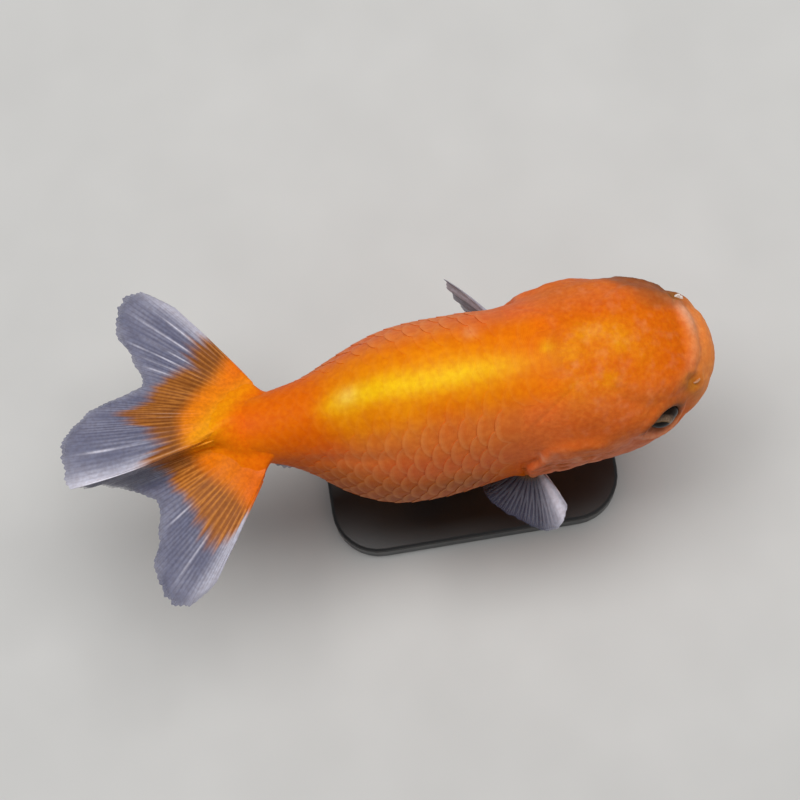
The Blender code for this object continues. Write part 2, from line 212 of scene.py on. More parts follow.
ORANGE, DEEP_ORANGE, GOLD = linear("#EE7A04"), linear("#E86400"), linear("#FFCA0A")
SORREL, OCHRE, PEACH = linear("#C4600E"), linear("#B97A22"), linear("#FFA250")
ROSE, PALE_ROSE, CREAM = linear("#DE805A"), linear("#F4B894"), linear("#F7D8A2")
# The second brown below is painted shade on the lower flank and in the gill creases, and a mottle on
# the head.
BELLY, SHADE_AND_MOTTLE_BROWN = linear("#EE9A4C"), linear("#904A12")
# Browns for painted shade above the eyes and in their sockets.
BROW_SHADE_BROWN, SOCKET_SHADE = linear("#6B4A30"), linear("#4A3A2C")
TAN, BROWN = linear("#C47E36"), linear("#7C4618")
LAVENDER, RAY_WHITE = linear("#636580"), linear("#EEECF8")


def towards(colour, other, share):
    return colour + (other - colour) * np.clip(share, 0.0, 1.0)[..., None]


def markings(behind, side, level):
    """The fish's colours by place, with painted highlight along the back, over the nape, on the
    crown's edge and on the tail's root, and painted shade on the lower flank, in the gill creases, in
    the nostril pits and round the eyes. Skin and scales both take them from here.
    """
    places = stacked(behind, side, level)
    flank = np.abs(side)
    round_eye = ease(6, 10, flank)
    # Along the back the gold band is partly the fish's own gold and partly a painted highlight, laid
    # where the overhead lamp's reflection runs. The gold spot on it is partly painted highlight too.
    gold_and_highlight_band = ease(8, 16, level) * ease(34, 62, behind) * ease(96, 84, behind)
    off_ridge = side + 1.5 - 0.7 * ease(46, 85, behind) + 0.6 * clouds(places, 7.0, 4)
    # Painted highlight: pale cream spots where the reflection along the back ends, and one on the
    # upper flank.
    highlight_spots = hump(behind - 84.5, 2.2) * hump(off_ridge - 0.5, 1.7)
    highlight_spots = highlight_spots + hump(behind - 55.5, 1.7) * hump(side - 8.2, 1.5)
    gold_and_highlight_spot = hump(behind - 39.5, 1.6) * hump(side - 1.5, 1.3) * ease(6, 10, level)
    # A gold arc over the tail's root is a painted highlight on the fleshy ridge there.
    tail_root = hump(behind - 118 + side, 3.6) * ease(0, 4, level) * ease(-5, -1, side)
    # Gold over the nape: partly the fish's own gold, partly a painted highlight.
    nape = hump(side + 2.5, 6.5) * ease(10, 18, level) * hump(behind - 29, 8.0)
    mottle = np.clip(clouds(places, 1.7, 6) + 0.5 * clouds(places, 0.8, 16), 0, 1)
    # Painted shade: the lower flank, which turns away from the light, is darkened towards brown.
    lower = ease(8, -3, level) * ease(48, 60, behind) * ease(108, 98, behind)
    on_cover = ease(1.2, -1.6, gill_edge(behind, level)) * ease(8, 12, flank) * ease(12, 2, level)
    # Painted shade along the gill cover's creases.
    creases = cover_creases(behind, side, level) * ease(6, 10, flank)
    lumps = clouds(places, 2.4, 21) + 0.5 * clouds(places, 1.1, 22)
    lumps = lumps * ease(9, 12, flank) * ease(13, 7, level)
    lumps = lumps * ease(47, 43, behind) * ease(14, 19, behind)
    cheek = hump(behind - 21, 6.0) * ease(11, 15, flank) * ease(13, 8, level)
    # The crown's swollen edge is paled, partly its own pale flesh and partly a painted highlight on
    # the wet ridge.
    swell = hump(crown_edge(behind, side) + 0.8, 1.5) * ease(4, 9, level) * ease(14, 7, behind)
    # Painted shade: the nostril pits are darkened with ochre.
    pit_shade = hump(behind - 8.0, 2.6) * hump(flank - 10.6, 1.8) * ease(2, 6, level)
    rim, above_eye = eye_opening(behind, level), level - EYE_LEVEL
    # Painted shade above each eye, under the overhanging crown, and along the brow.
    shaded = ease(2.4, 0.4, rim) * ease(0.5, 3.5, above_eye) * round_eye
    brow_shade = ease(7.0, 3.5, rim) * ease(-1.5, 1.5, above_eye) * ease(5, 8, side)
    lips = hump(level - mouth_level(side), 1.8) * ease(5.5, 3, behind) * ease(6.5, 5, flank)
    layers = (
        (DEEP_ORANGE, 0.5 + 0.6 * clouds(places, 9.0, 3)),
        (ROSE, 0.3 * ease(7, 13, flank) * ease(0, 6, level) * ease(105, 95, behind)),
        # Gold band along the back: own gold with a painted highlight.
        (GOLD, gold_and_highlight_band * (0.32 * hump(off_ridge, 8.0) + 0.62 * hump(off_ridge, 2.6))),
        # Painted highlight spots in cream.
        (CREAM, 0.2 * highlight_spots * ease(6, 10, level)),
        # Gold spot on the back: own gold with a painted highlight.
        (GOLD, 0.5 * gold_and_highlight_spot),
        # Painted highlight arc on the tail's root, then the stem's own gold towards its end.
        (GOLD, 0.22 * tail_root + 0.14 * ease(108, 116, behind)),
        (SORREL, 0.42 * ease(44, 34, behind) * ease(2, 9, behind)),
        # Nape gold, partly a painted highlight.
        (GOLD, nape * (0.42 + 0.42 * clouds(places, 4.5, 5))),
        (PALE_ROSE, 0.11 * mottle * ease(42, 34, behind) * ease(2, 8, level)),
        # Painted shade on the lower flank.
        (SHADE_AND_MOTTLE_BROWN, (0.68 + 0.2 * clouds(places, 5.0, 8)) * lower),
        (BELLY, 0.8 * ease(-12, -27, level)),
        (ROSE, on_cover * (0.75 + 0.35 * clouds(places, 4.0, 7))),
        # Painted shade in the creases.
        (SHADE_AND_MOTTLE_BROWN, 0.4 * creases),
        (PALE_ROSE, 0.4 * lumps),
        (SHADE_AND_MOTTLE_BROWN, -0.35 * lumps),
        (ROSE, 0.6 * cheek),
        (PEACH, 0.65 * ease(10, 3, behind)),
        # Pale crown edge, partly a painted highlight.
        (PALE_ROSE, swell * (0.2 + 0.6 * hump(side - 4.5, 3.6))),
        # Painted shade in the nostril pits.
        (OCHRE, 0.8 * pit_shade),
        (PALE_ROSE, 0.5 * hump(rim - 0.7, 0.8) * round_eye * ease(8, 2, level)),
        # Painted shade over and beside the eye.
        (BROW_SHADE_BROWN, 0.75 * shaded),
        (BROW_SHADE_BROWN, 0.6 * brow_shade),
        # Painted shade: the socket round the eyeball is painted near black.
        (SOCKET_SHADE, 0.95 * ease(0.3, -0.5, rim) * round_eye),
        (PALE_ROSE, 0.35 * lips),
    )
    colour = np.broadcast_to(ORANGE, places.shape)
    for tint, share in layers:
        colour = towards(colour, tint, share)
    return colour


# Lines on the body, as distances in millimetres that are below 0 inside

GILL_BEHIND, GILL_LEVEL = 34.2, -3.0
GILL_REACH = (12.8, 16.5)
CROWN_BEHIND = 17.4
CROWN_REACH = (12.6, 13.4)
NAPE = 27.0
NAPE_SWEEP = 19.0


def gill_edge(behind, level):
    ratio = np.hypot((behind - GILL_BEHIND) / GILL_REACH[0], (level - GILL_LEVEL) / GILL_REACH[1])
    return (ratio - 1) * 14 + 0.9 * clouds(stacked(behind, level, 0.0), 5.0, 9)


def cover_creases(behind, side, level):
    """1 along the wandering creases of the gill cover's skin."""
    lines = (1 - np.abs(clouds(stacked(behind / 2.6, side / 2.0, level), 1.5, 11))) ** 6
    return lines * ease(0, -3, gill_edge(behind, level)) * ease(9, 2, level)


def crown_edge(behind, side):
    ratio = np.hypot((behind - CROWN_BEHIND) / CROWN_REACH[0], side / CROWN_REACH[1])
    return (ratio - 1) * 13


def eye_opening(behind, level):
    """The eye's opening is an egg, wider above the ball, where the socket shows."""
    up = level - EYE_LEVEL
    tall = np.where(up > 0, 5.6, 4.0)
    return (np.hypot((behind - EYE_BEHIND - 0.6) / 4.6, up / tall) - 1) * 4.3


def mouth_level(side):
    return -4.4 - 0.09 * side**2


def nape_gap(behind, side, level):
    """How far behind the line where scales begin, which sweeps back down the sides."""
    down_side = np.where(level > 0, np.clip(np.abs(side) / 14, 0, 1) ** 1.4, 1.0)
    return behind - NAPE - NAPE_SWEEP * down_side - 0.25 * np.minimum(level + 14, 0)


def scaled_share(behind, side, level):
    """How far the scales stand clear of the skin: 0 on the head, 1 well behind it."""
    down_side = ease(9, 14, np.abs(side))
    return ease(-1.0, 12.0 - 7.5 * down_side, nape_gap(behind, side, level))


# The skin

COLUMNS = 300
SNOUT_ROWS = 34
HEAD_ROWS = 130
TRUNK_ROWS = 130
STEM_ROWS = 14
SNOUT_CENTRE = 9.0
HEAD_END = 48.0
STEM_CENTRE = STEM_END - 7.5
CUT_REACH = 3  # rows over which the cuts between the pieces of flesh are closed
CUT_BLUR = (4.5, 3.6)  # rows and columns over which they are smoothed
COAT_DEPTH = 0.3  # room for the scales


def flesh_tree():
    """The pieces of flesh, with the eyes to fill their sockets, as one tree of triangles."""
    points, faces = [], []
    for name in FLESH + ("eye_left", "eye_right"):
        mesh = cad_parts[name].data
        start = len(points)
        points.extend(vertex.co / MM for vertex in mesh.vertices)
        faces.extend([start + k for k in polygon.vertices] for polygon in mesh.polygons)
    return BVHTree.FromPolygons(points, faces)


def ray_rows():
    """For each row of the skin, where its rays start and how far they lean forward."""
    snout_lean = np.linspace(math.pi / 2, 0, SNOUT_ROWS, endpoint=False)[1:]
    stem_lean = np.linspace(0, -math.pi / 2, STEM_ROWS, endpoint=False)[1:]
    lean = np.concatenate([snout_lean, np.zeros(HEAD_ROWS + TRUNK_ROWS), stem_lean])
    head = np.linspace(SNOUT_CENTRE, HEAD_END, HEAD_ROWS, endpoint=False)
    trunk = np.linspace(HEAD_END, STEM_CENTRE, TRUNK_ROWS)
    snout, stem = np.full(SNOUT_ROWS - 1, SNOUT_CENTRE), np.full(STEM_ROWS - 1, STEM_CENTRE)
    return np.concatenate([snout, head, trunk, stem]), lean


def reach_to(tree, middle, way):
    """How far the flesh reaches from the middle that way, or 0 in a gap between its pieces."""
    hit = tree.ray_cast(middle + way * 200, -way, 200)[0]
    return 0.0 if hit is None else (hit - middle).length


def middle_level(tree, start):
    """The level half way between back and belly, at each start."""
    levels = []
    for behind in start:
        middles = [Vector(to_model(behind + step, 0.0, 0.0)) for step in (-0.7, 0.0, 0.7)]
        top, low = (max(reach_to(tree, m, Vector((0, 0, way))) for m in middles) for way in (1, -1))
        levels.append((top - low) / 2)
    return softened(np.array(levels)[:, None], 6.0, 0.5)[:, 0]


def measured_body():
    """The body's surface as rows of points round its middle line, in millimetres."""
    tree = flesh_tree()
    start, lean = ray_rows()
    centres = to_model(start, 0.0, middle_level(tree, start))
    angles = np.arange(COLUMNS) * 2 * math.pi / COLUMNS
    across = stacked(0.0, np.cos(angles), np.sin(angles))
    forward = np.array([1.0, 0, 0])
    ways = np.cos(lean)[:, None, None] * across + np.sin(lean)[:, None, None] * forward
    reach = np.array(
        [[reach_to(tree, Vector(c), Vector(way)) for way in row] for c, row in zip(centres, ways)]
    )
    reach = softened(slits_closed(reach, CUT_REACH), *CUT_BLUR)
    cap = np.arange(SNOUT_ROWS - 1)
    near_pole = ease(7, 0, cap)[:, None]
    reach[cap] = blend(reach[cap], reach[cap].mean(axis=1, keepdims=True), near_pole)
    points = centres[:, None, :] + reach[..., None] * ways
    inset = COAT_DEPTH * scaled_share(*to_fish(points))
    return points - outward(points) * inset[..., None]


def unit(vectors):
    return vectors / np.maximum(np.linalg.norm(vectors, axis=-1, keepdims=True), 1e-9)


def outward(points):
    """The surface's outward direction at each point of the grid."""
    round_body = np.roll(points, -1, axis=1) - np.roll(points, 1, axis=1)
    return unit(np.cross(np.gradient(points, axis=0), round_body))


def read_grid(field, row, column):
    """The field's value between its four nearest points, carried on beyond its edges."""
    r = np.clip(np.floor(row).astype(int), 0, field.shape[0] - 2)
    c = np.clip(np.floor(column).astype(int), 0, field.shape[1] - 2)
    across = (column - c)[..., None]
    near = blend(field[r, c], field[r, c + 1], across)
    far = blend(field[r + 1, c], field[r + 1, c + 1], across)
    return blend(near, far, (row - r)[..., None])


def gill_relief(behind, side, level):
    """The cover's crisp rear edge, the bone edge inside it and its creased skin."""
    places, edge = stacked(behind, side, level), gill_edge(behind, level)
    rear = ease(24, 34, behind)
    rim = 0.4 * hump(edge + 1.3, 1.2) * rear
    groove = -0.95 * hump(edge - 0.5, 0.75) * blend(0.12, 1.0, rear) * ease(13, 4, level)
    bone = -0.25 * hump(edge + 6.2, 0.6) * ease(26, 32, behind)
    soft = (0.42 * clouds(places, 4.2, 13) + 0.16 * clouds(places, 1.9, 14)) * ease(1, -2, edge)
    creases = -0.45 * cover_creases(behind, side, level)
    return (rim + groove + bone + creases + soft) * ease(7, 11, np.abs(side))


def crown_relief(behind, side, level):
    """The soft head growth: a swollen edge, and grains that are strongest near it."""
    places, edge = stacked(behind, side, level), crown_edge(behind, side)
    front = ease(16, 7, behind)
    rim = (0.2 + 0.35 * front) * hump(edge + 1.5, 1.7)
    groove = -(0.14 + 0.22 * front) * hump(edge - 0.9, 0.9)
    grain = 0.2 * (grains(places, 1.6, 17) - 0.4) + 0.09 * (grains(places, 0.9, 18) - 0.4)
    grain = grain * (0.45 + 0.55 * hump(edge + 1.0, 4.0)) + 0.26 * clouds(places, 4.6, 19)
    grain = grain * ease(46, 36, behind) * (0.45 + 0.55 * ease(-4, 6, level))
    return (rim + groove) * ease(3, 9, level) + grain


def snout_relief(behind, side, level):
    """Lips and mouth slit, the notch each side of the snout and the nostril pits."""
    flank = np.abs(side)
    above = level - mouth_level(side)
    mouth = -0.75 * hump(above, 0.45) + 0.5 * hump(above - 1.4, 0.9) + 0.42 * hump(above + 1.4, 0.9)
    mouth = mouth * ease(7, 4, behind) * ease(6.6, 5.2, flank)
    notch = hump(flank - 7.9, 1.1) * hump(behind - 3.2, 2.0)
    notch = notch * ease(-6, -1, level) * ease(12, 8, level)
    nose = hump(flank, 5.5) * hump(behind - 1.5, 3.2) * ease(-4, 0, level) * ease(13, 8, level)
    along, across = behind - 7.6, flank - 9.9
    pit_rim = hump(np.hypot(along / 1.5, across) - 1.8, 0.5)
    pits = (0.25 * pit_rim - 0.6 * hump(along, 1.6) * hump(across, 0.9)) * ease(3, 6, level)
    return mouth - 0.35 * notch + 0.55 * nose + pits


def eye_relief(behind, side, level):
    """A hollow for each eye, open in the middle, with a fleshy ring and a deep fold above it."""
    gap = np.hypot(behind - EYE_BEHIND, level - EYE_LEVEL)
    rim = eye_opening(behind, level)
    hollow = -0.9 * np.exp(-((gap / 6.4) ** 4))
    opening = -3.4 * ease(0.35, -0.55, rim)
    ring = 0.4 * hump(rim - 0.75, 0.5)
    lid = 0.35 * hump(rim - 1.2, 0.9) * ease(1, 4, level - EYE_LEVEL)
    pouch = 1.0 * hump(behind - EYE_BEHIND - 0.5, 5.0) * hump(level - EYE_LEVEL + 5.2, 2.4)
    return (hollow + opening + ring + lid + pouch) * ease(6, 10, np.abs(side))


def body_relief(behind, side, level):
    """Cheek, fin roots, the crease over the belly's bulge and the vent."""
    flank = np.abs(side)
    cheek = 0.7 * hump(behind - 20, 4.5) * hump(level + 5, 5.0) * ease(6, 12, flank)
    fold = hump(behind - 22.5 - 0.25 * (level - 6), 0.7)
    fold = fold * hump(level - 6, 5.0) * ease(10, 14, flank)
    shoulder = 0.9 * hump(behind - 46.5, 2.4) * hump(level + 12.2, 2.6) * ease(8, 12, flank)
    crease = hump(level - 11.0 + 0.44 * (behind - 78), 1.7) * ease(70, 78, behind)
    crease = crease * ease(101, 93, behind) * ease(6, 9, flank)
    vent = 0.7 * hump(behind - 89, 1.6) * hump(side, 1.6) * ease(-8, -14, level)
    nape = hump(nape_gap(behind, side, level) + 1, 0.9) * ease(2, 8, level) * ease(3, 8, flank)
    soft = 0.1 * clouds(stacked(behind, side, level), 6.0, 23)
    return cheek - 0.35 * fold + shoulder - 0.4 * crease + vent - 0.2 * nape + soft


def dressed_skin(points):
    """The body's points with the folds, grains and openings of the real surface."""
    forms = (gill_relief, crown_relief, snout_relief, eye_relief, body_relief)
    place = to_fish(points)
    relief = sum(form(*place) for form in forms)
    near_pole = ease(0, 4, np.arange(len(points)))[:, None]
    return points + outward(points) * (relief * near_pole)[..., None]


# Making pieces


def placed(name, data):
    """A new object in the scene, at the origin."""
    thing = bpy.data.objects.new(name, data)
    bpy.context.scene.collection.objects.link(thing)
    return thing


def new_mesh(name, points, faces=(), edges=()):
    """A mesh from points in millimetres."""
    mesh = bpy.data.meshes.new(name)
    mesh.from_pydata((np.asarray(points) * MM).tolist(), edges, faces)
    return mesh


def new_piece(name, points, faces, material, replaced=()):
    """A smooth, closed mesh piece, riding on the one body."""
    mesh = new_mesh(name, points, faces)
    mesh.shade_smooth()
    piece = settled(placed(name, mesh), material, replaced)
    facing_out(mesh)
    return piece


def settled(piece, material, replaced=()):
    """Gives the piece its material, hangs it on the body's root and hides the solids it replaces."""
    piece.data.materials.clear()
    piece.data.materials.append(material)
    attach(piece, "root")
    if replaced:
        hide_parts(*replaced)
    return piece


def facing_out(mesh):
    """Turns the faces of a closed mesh outwards if they point in."""
    shape = bmesh.new()
    shape.from_mesh(mesh)
    if shape.calc_volume(signed=True) < 0:
        bmesh.ops.reverse_faces(shape, faces=shape.faces)
        shape.to_mesh(mesh)
    shape.free()


def made_plain(carrier, name):
    """The plain mesh that the carrier's modifier makes. The carrier goes."""
    depsgraph = bpy.context.evaluated_depsgraph_get()
    mesh = bpy.data.meshes.new_from_object(carrier.evaluated_get(depsgraph), depsgraph=depsgraph)
    bpy.data.objects.remove(carrier)
    mesh.name = name
    mesh.shade_smooth()
    return mesh


def store(mesh, **fields):
    """Keeps numbers or colours for every point of the mesh, under their names."""
    for name, values in fields.items():
        values = np.asarray(values, dtype=float)
        if values.ndim == 1:
            mesh.attributes.new(name, "FLOAT", "POINT").data.foreach_set("value", values)
        else:
            rgba = np.concatenate([values, np.ones((len(values), 1))], axis=1).ravel()
            mesh.attributes.new(name, "FLOAT_COLOR", "POINT").data.foreach_set("color", rgba)


def grid_faces(rows, columns, wrap=False):
    """Four-sided faces over a grid of points. With wrap, the last column joins the first."""
    last = columns if wrap else columns - 1
    r, c = np.meshgrid(np.arange(rows - 1), np.arange(last), indexing="ij")
    here, n = r * columns, (c + 1) % columns
    quads = np.stack([here + c, here + n, here + columns + n, here + columns + c], -1)
    return quads.reshape(-1, 4)


def two_sided(rows, columns):
    """Faces of a closed sheet whose lower points follow its upper ones."""
    count = rows * columns
    upper = grid_faces(rows, columns)
    ends = np.arange(columns)
    right, left = np.arange(1, rows) * columns + columns - 1, np.arange(rows - 2, 0, -1) * columns
    border = np.concatenate([ends, right, (rows - 1) * columns + ends[-2::-1], left])
    after = np.roll(border, -1)
    wall = np.stack([after, border, border + count, after + count], axis=-1)
    return np.concatenate([upper, upper[:, ::-1] + count, wall])


def closed_tube(rings, tips):
    """Points and faces of rings of points joined into a tube that is closed at two tips."""
    rows, columns, _ = rings.shape
    tip, last = rows * columns, (rows - 1) * columns
    faces = grid_faces(rows, columns, wrap=True).tolist()
    for k in range(columns):
        after = (k + 1) % columns
        faces += [[tip, after, k], [tip + 1, last + k, last + after]]
    return np.concatenate([rings.reshape(-1, 3), tips]), faces


def make_skin(points, material):
    """One skin over all the pieces of flesh, closed at the snout and at the tail stem."""
    points, faces = closed_tube(points, points[[0, -1]].mean(axis=1))
    skin = new_piece("skin", points, faces, material, FLESH)
    store(skin.data, marking=markings(*to_fish(points)))


# Scales

SCALE_ROWS = 28  # rows of scales round the body, counted through both sides
LATERAL_ROW = 7  # the row whose scales carry the lateral line's tube
# The space from one column of scales to the next but one: behind the snout, space
SCALE_PITCH = ((24.0, 3.0), (40.0, 3.8), (60.0, 4.2), (82.0, 3.9), (100.0, 3.0), (116.0, 2.5))
SCALE_ACROSS, SCALE_ALONG = 9, 8  # points over a scale
SCALE_LIFT = 0.3
SCALE_THICKNESS = 0.12
SCALE_PATCH = 0.003  # a scale's size on the skin's unwrap
CRISP = math.radians(50)  # edges sharper than this are drawn crisp, so thin rims do not darken
ROUND_POINTS = 720


class BodySheet:
    """The skin under the scales, read by place behind the snout and share of the way round."""

    def __init__(self, points):
        stations = SNOUT_X - points.mean(axis=1)[:, 0]
        keep = np.diff(stations, prepend=-9) > 1e-6
        self.stations, points = stations[keep], points[keep]
        closed = np.concatenate([points, points[:, :1]], axis=1)
        steps = np.linalg.norm(np.diff(closed, axis=1), axis=-1)
        travelled = np.concatenate([np.zeros((len(points), 1)), np.cumsum(steps, axis=1)], axis=1)
        shares = np.arange(ROUND_POINTS) / ROUND_POINTS
        even = []
        for ring, gone in zip(closed, travelled):
            along = (gone[COLUMNS // 4] + shares * gone[-1]) % gone[-1]
            even.append([np.interp(along, gone, ring[:, k]) for k in range(3)])
        even = softened(np.array(even).transpose(0, 2, 1), 0.8, 1.2)
        normals = outward(softened(even, 1.5, 3.0))
        self.points, self.normals = (np.concatenate([f, f[:, :1]], axis=1) for f in (even, normals))

    def read(self, field, behind, share):
        row = np.interp(behind, self.stations, np.arange(len(self.stations)))
        return read_grid(field, row, (share % 1.0) * ROUND_POINTS)


def scale_places(sheet):
    """Where each scale is rooted: behind the snout, share of the way round, its row and pitch."""
    places = []
    behind, column = NAPE - 4.0, 0
    while behind < STEM_END - 1.5:
        pitch = np.interp(behind, *np.array(SCALE_PITCH).T)
        rows = range(column % 2, SCALE_ROWS, 2)
        places += [(behind, row / SCALE_ROWS, row, pitch) for row in rows]
        behind, column = behind + pitch / 2, column + 1
    places = np.array(places)
    roots = sheet.read(sheet.points, places[:, 0], places[:, 1])
    return places[nape_gap(*to_fish(roots)) > 1.0]


def make_scales(points, material):
    """Overlapping plates over the body, rooted in the skin and raised at their rear rims."""
    sheet = BodySheet(points)
    places = scale_places(sheet)
    u, v = np.meshgrid(np.linspace(-1, 1, SCALE_ACROSS), np.linspace(0, 1, SCALE_ALONG))
    arc = np.sqrt(np.clip(1 - (u * 0.985) ** 2, 0, 1)) ** 0.9
    behind, share, row, pitch = (places[:, k][:, None, None] for k in range(4))
    front, rear = -0.75 * pitch, pitch * (0.15 + 0.95 * arc)
    reach = front + (rear - front) * v
    wobble = 0.04 * (lattice(stacked(row, behind, share * 900).astype(int), 31) - 0.5)
    place = behind + reach * (1 + wobble), share + u * (1.03 / SCALE_ROWS) * (1 + wobble)
    normal = unit(sheet.read(sheet.normals, *place))
    root = to_fish(sheet.read(sheet.points, behind, share))
    flank = ease(7, 15, np.abs(root[1]))
    out = scaled_share(*root) * ease(117, 106, behind)
    size = np.clip(pitch / 4.2, 0.5, 1.0) * (0.3 + 0.7 * flank) * out
    sunk = 0.01 + 0.09 * flank
    rise = (reach - front) / (1.85 * pitch)
    lift = -sunk - 0.24 * (1 - out) + (SCALE_LIFT * size + sunk) * rise
    lift = lift + 0.1 * (1 - u**2) * v * size
    on_line = (row == LATERAL_ROW) | (row == SCALE_ROWS - LATERAL_ROW)
    lift = lift + on_line * 0.12 * hump(u, 0.08) * ease(0.3, 0.5, v) * ease(0.92, 0.8, v)
    upper = sheet.read(sheet.points, *place) + normal * lift[..., None]
    each = (len(places), -1, 3)
    solid = [upper.reshape(each), (upper - normal * SCALE_THICKNESS).reshape(each)]
    solid = np.concatenate(solid, axis=1)
    start = np.arange(len(places)) * solid.shape[1]
    faces = (two_sided(SCALE_ALONG, SCALE_ACROSS) + start[:, None, None]).reshape(-1, 4)
    solid = solid.reshape(-1, 3)
    mesh = new_piece("scales", solid, faces.tolist(), material).data
    mesh.set_sharp_from_angle(angle=CRISP)
    behind, side, level = to_fish(solid)
    # How pale the rims are painted, faint on the back: partly own colour, partly a painted highlight.
    paleness = (0.12 + 0.88 * ease(7, 15, np.abs(side))) * ease(112, 100, behind)
    rim = np.tile(v.ravel(), 2 * len(places))
    store(mesh, marking=markings(behind, side, level), rim=rim, paleness=paleness)
    map_scales(mesh, places, u, v)


def map_scales(mesh, places, u, v):
    """Each scale as a small patch at its root's place on an unwrap of the skin."""
    along = (places[:, 0] - NAPE + 6) / (STEM_END - NAPE + 12)
    root = np.stack([along, places[:, 1] % 1.0], axis=-1)
    local = np.tile(np.stack([v.ravel(), u.ravel() / 2], axis=-1) * SCALE_PATCH, (2, 1))
    uv = (root[:, None, :] * 0.98 + 0.01 + local).reshape(-1, 2)
    corners = np.zeros(len(mesh.loops), dtype=np.int64)
    mesh.loops.foreach_get("vertex_index", corners)
    mesh.uv_layers.new(name="OFBake").data.foreach_set("uv", uv[corners].ravel())


# Fins

# A fin's first and last ray are rooted at two places along the fish. The right tail's crest tucks
# under the left one's.
TAIL_ROOTS = {
    "left": ((111.0, 0.6, 6.8), (103.0, 6.0, 3.0)),
    "right": ((111.0, -1.2, 5.7), (103.0, 6.0, 3.0)),
}
PECTORAL_ROOTS = ((44.0, 15.8, -10.8), (46.0, 15.2, -13.6))
PELVIC_ROOTS = ((58.5, 7.5, -27.0), (62.5, 5.5, -27.5))
ANAL_ROOTS = ((92.0, 2.0, -13.5), (98.5, 1.8, -8.0))
# The rays that give a fin its outline: share across the fin, azimuth, elevation, length, and curl
TAIL_RAYS = {
    "left": (
        (0.00, -14.2, 5.6, 40.2, -16.0), (0.16, 0.2, 4.2, 41.0, -6.0), (0.32, 8.9, 2.0, 37.4, 0.0),
        (0.43, 14.9, 0.5, 32.6, 0.0), (0.52, 23.6, -2.5, 27.0, 2.0), (0.62, 33.0, -6.0, 32.4, 4.0),
        (0.72, 39.0, -7.0, 40.4, 6.0), (0.82, 46.5, -7.0, 44.4, 7.0), (0.91, 52.0, -7.0, 42.4, 6.0),
        (1.00, 55.5, -7.0, 34.0, 4.0),
    ),
    "right": (
        (0.00, 13.6, 5.0, 39.8, 16.0), (0.16, 10.5, -3.0, 38.6, 8.0), (0.32, 8.0, -12.0, 36.4, 2.0),
        (0.43, 11.5, -14.5, 32.4, 0.0), (0.52, 22.0, -9.0, 27.4, 2.0),
        (0.62, 33.0, -6.0, 31.4, 4.0), (0.72, 39.5, -7.0, 38.0, 6.0), (0.82, 47.5, -7.0, 41.8, 7.0),
        (0.91, 53.0, -7.0, 40.4, 6.0), (1.00, 56.5, -7.0, 33.0, 4.0),
    ),
}
SMALL_FINS = {
    "pectoral_fin_left": (
        PECTORAL_ROOTS,
        ((0.0, 51.0, 1.0, 22.0), (0.5, 55.0, -32.0, 19.0), (1.0, 60.0, -62.0, 12.5)),
    ),
    "pectoral_fin_right": (
        PECTORAL_ROOTS,
        ((0.0, 116.0, -2.0, 12.5), (0.28, 98.0, -4.0, 16.5), (0.64, 64.0, -12.0, 13.0),
         (1.0, 12.0, -22.0, 12.5)),
    ),
    "pelvic_fin_left": (
        PELVIC_ROOTS,
        ((0.0, 26.0, -26.0, 18.0), (0.4, 18.0, -28.0, 18.5), (1.0, 4.0, -24.0, 11.0)),
    ),
    "pelvic_fin_right": (
        PELVIC_ROOTS,
        ((0.0, 20.0, -24.0, 18.5), (0.4, 14.0, -26.0, 19.0), (1.0, 4.0, -24.0, 11.0)),
    ),
    "anal_fin_left": (ANAL_ROOTS, ((0.0, 8.0, -44.0, 14.0), (1.0, 5.0, -14.0, 10.0))),
    "anal_fin_right": (ANAL_ROOTS, ((0.0, 12.0, -42.0, 14.0), (1.0, 7.0, -14.0, 10.0))),
}
# How far the orange reaches along the tail's rays: share across the fin, share of the ray
ORANGE_REACH = {
    "left": (
        (0.0, 0.60), (0.06, 0.50), (0.1, 0.47), (0.2, 0.51), (0.26, 0.70), (0.32, 0.76),
        (0.43, 0.77), (0.52, 0.90), (0.62, 0.67), (0.72, 0.48), (0.82, 0.50), (0.91, 0.55),
        (1.0, 0.67),
    ),
    "right": (
        (0.0, 0.55), (0.2, 0.58), (0.4, 0.66), (0.52, 0.82), (0.57, 0.73), (0.65, 0.65),
        (0.75, 0.60), (0.85, 0.60), (0.93, 0.61), (0.97, 0.52), (1.0, 0.45),
    ),
}
# The few rays that stand out white, by share across the tail
WHITE_RAYS = {
    "left": (0.0, 0.115, 0.56, 0.61, 0.65, 0.695, 0.74, 0.80, 0.87),
    "right": (0.0, 0.57, 0.62, 0.80, 1.0),
}
FAN_STEPS, RAY_STEPS = 240, 48  # steps across a fin's middle surface, and along it
RAY_FORKS = ((0.22, 0.42, 5), (0.42, 0.74, 7), (0.74, 0.975, 6))  # start, end and steps
FORK_LENGTH = 0.3
RAY_SPREAD = 0.27
RAY_SIDES = 10
# How far a ray stands out of the membrane: share of the ray, height
RAY_PROUD = ((0.2, -0.05), (0.3, 0.04), (0.42, 0.08), (0.7, 0.05), (0.97, -0.06))


def fin_clouds(share, run, across, along, seed):
    """Smooth noise from -1 to 1, with that many features across a fin and along its rays."""
    return clouds(stacked(share * across, run * along, 0.0), 1.0, seed)


def ragged(share, count, seed):
    """A number from -1 to 1 for each ray, changing suddenly from one to the next."""
    return lattice(stacked(np.floor(share * count), 0, 0).astype(int), seed) * 2 - 1


def fork_spread(fork, run):
    """How far a fork's branches stand from its middle, as a share of the space between two rays."""
    start = RAY_FORKS[fork + 1][0]
    return RAY_SPREAD * 0.5**fork * ease(start, start + FORK_LENGTH, run)


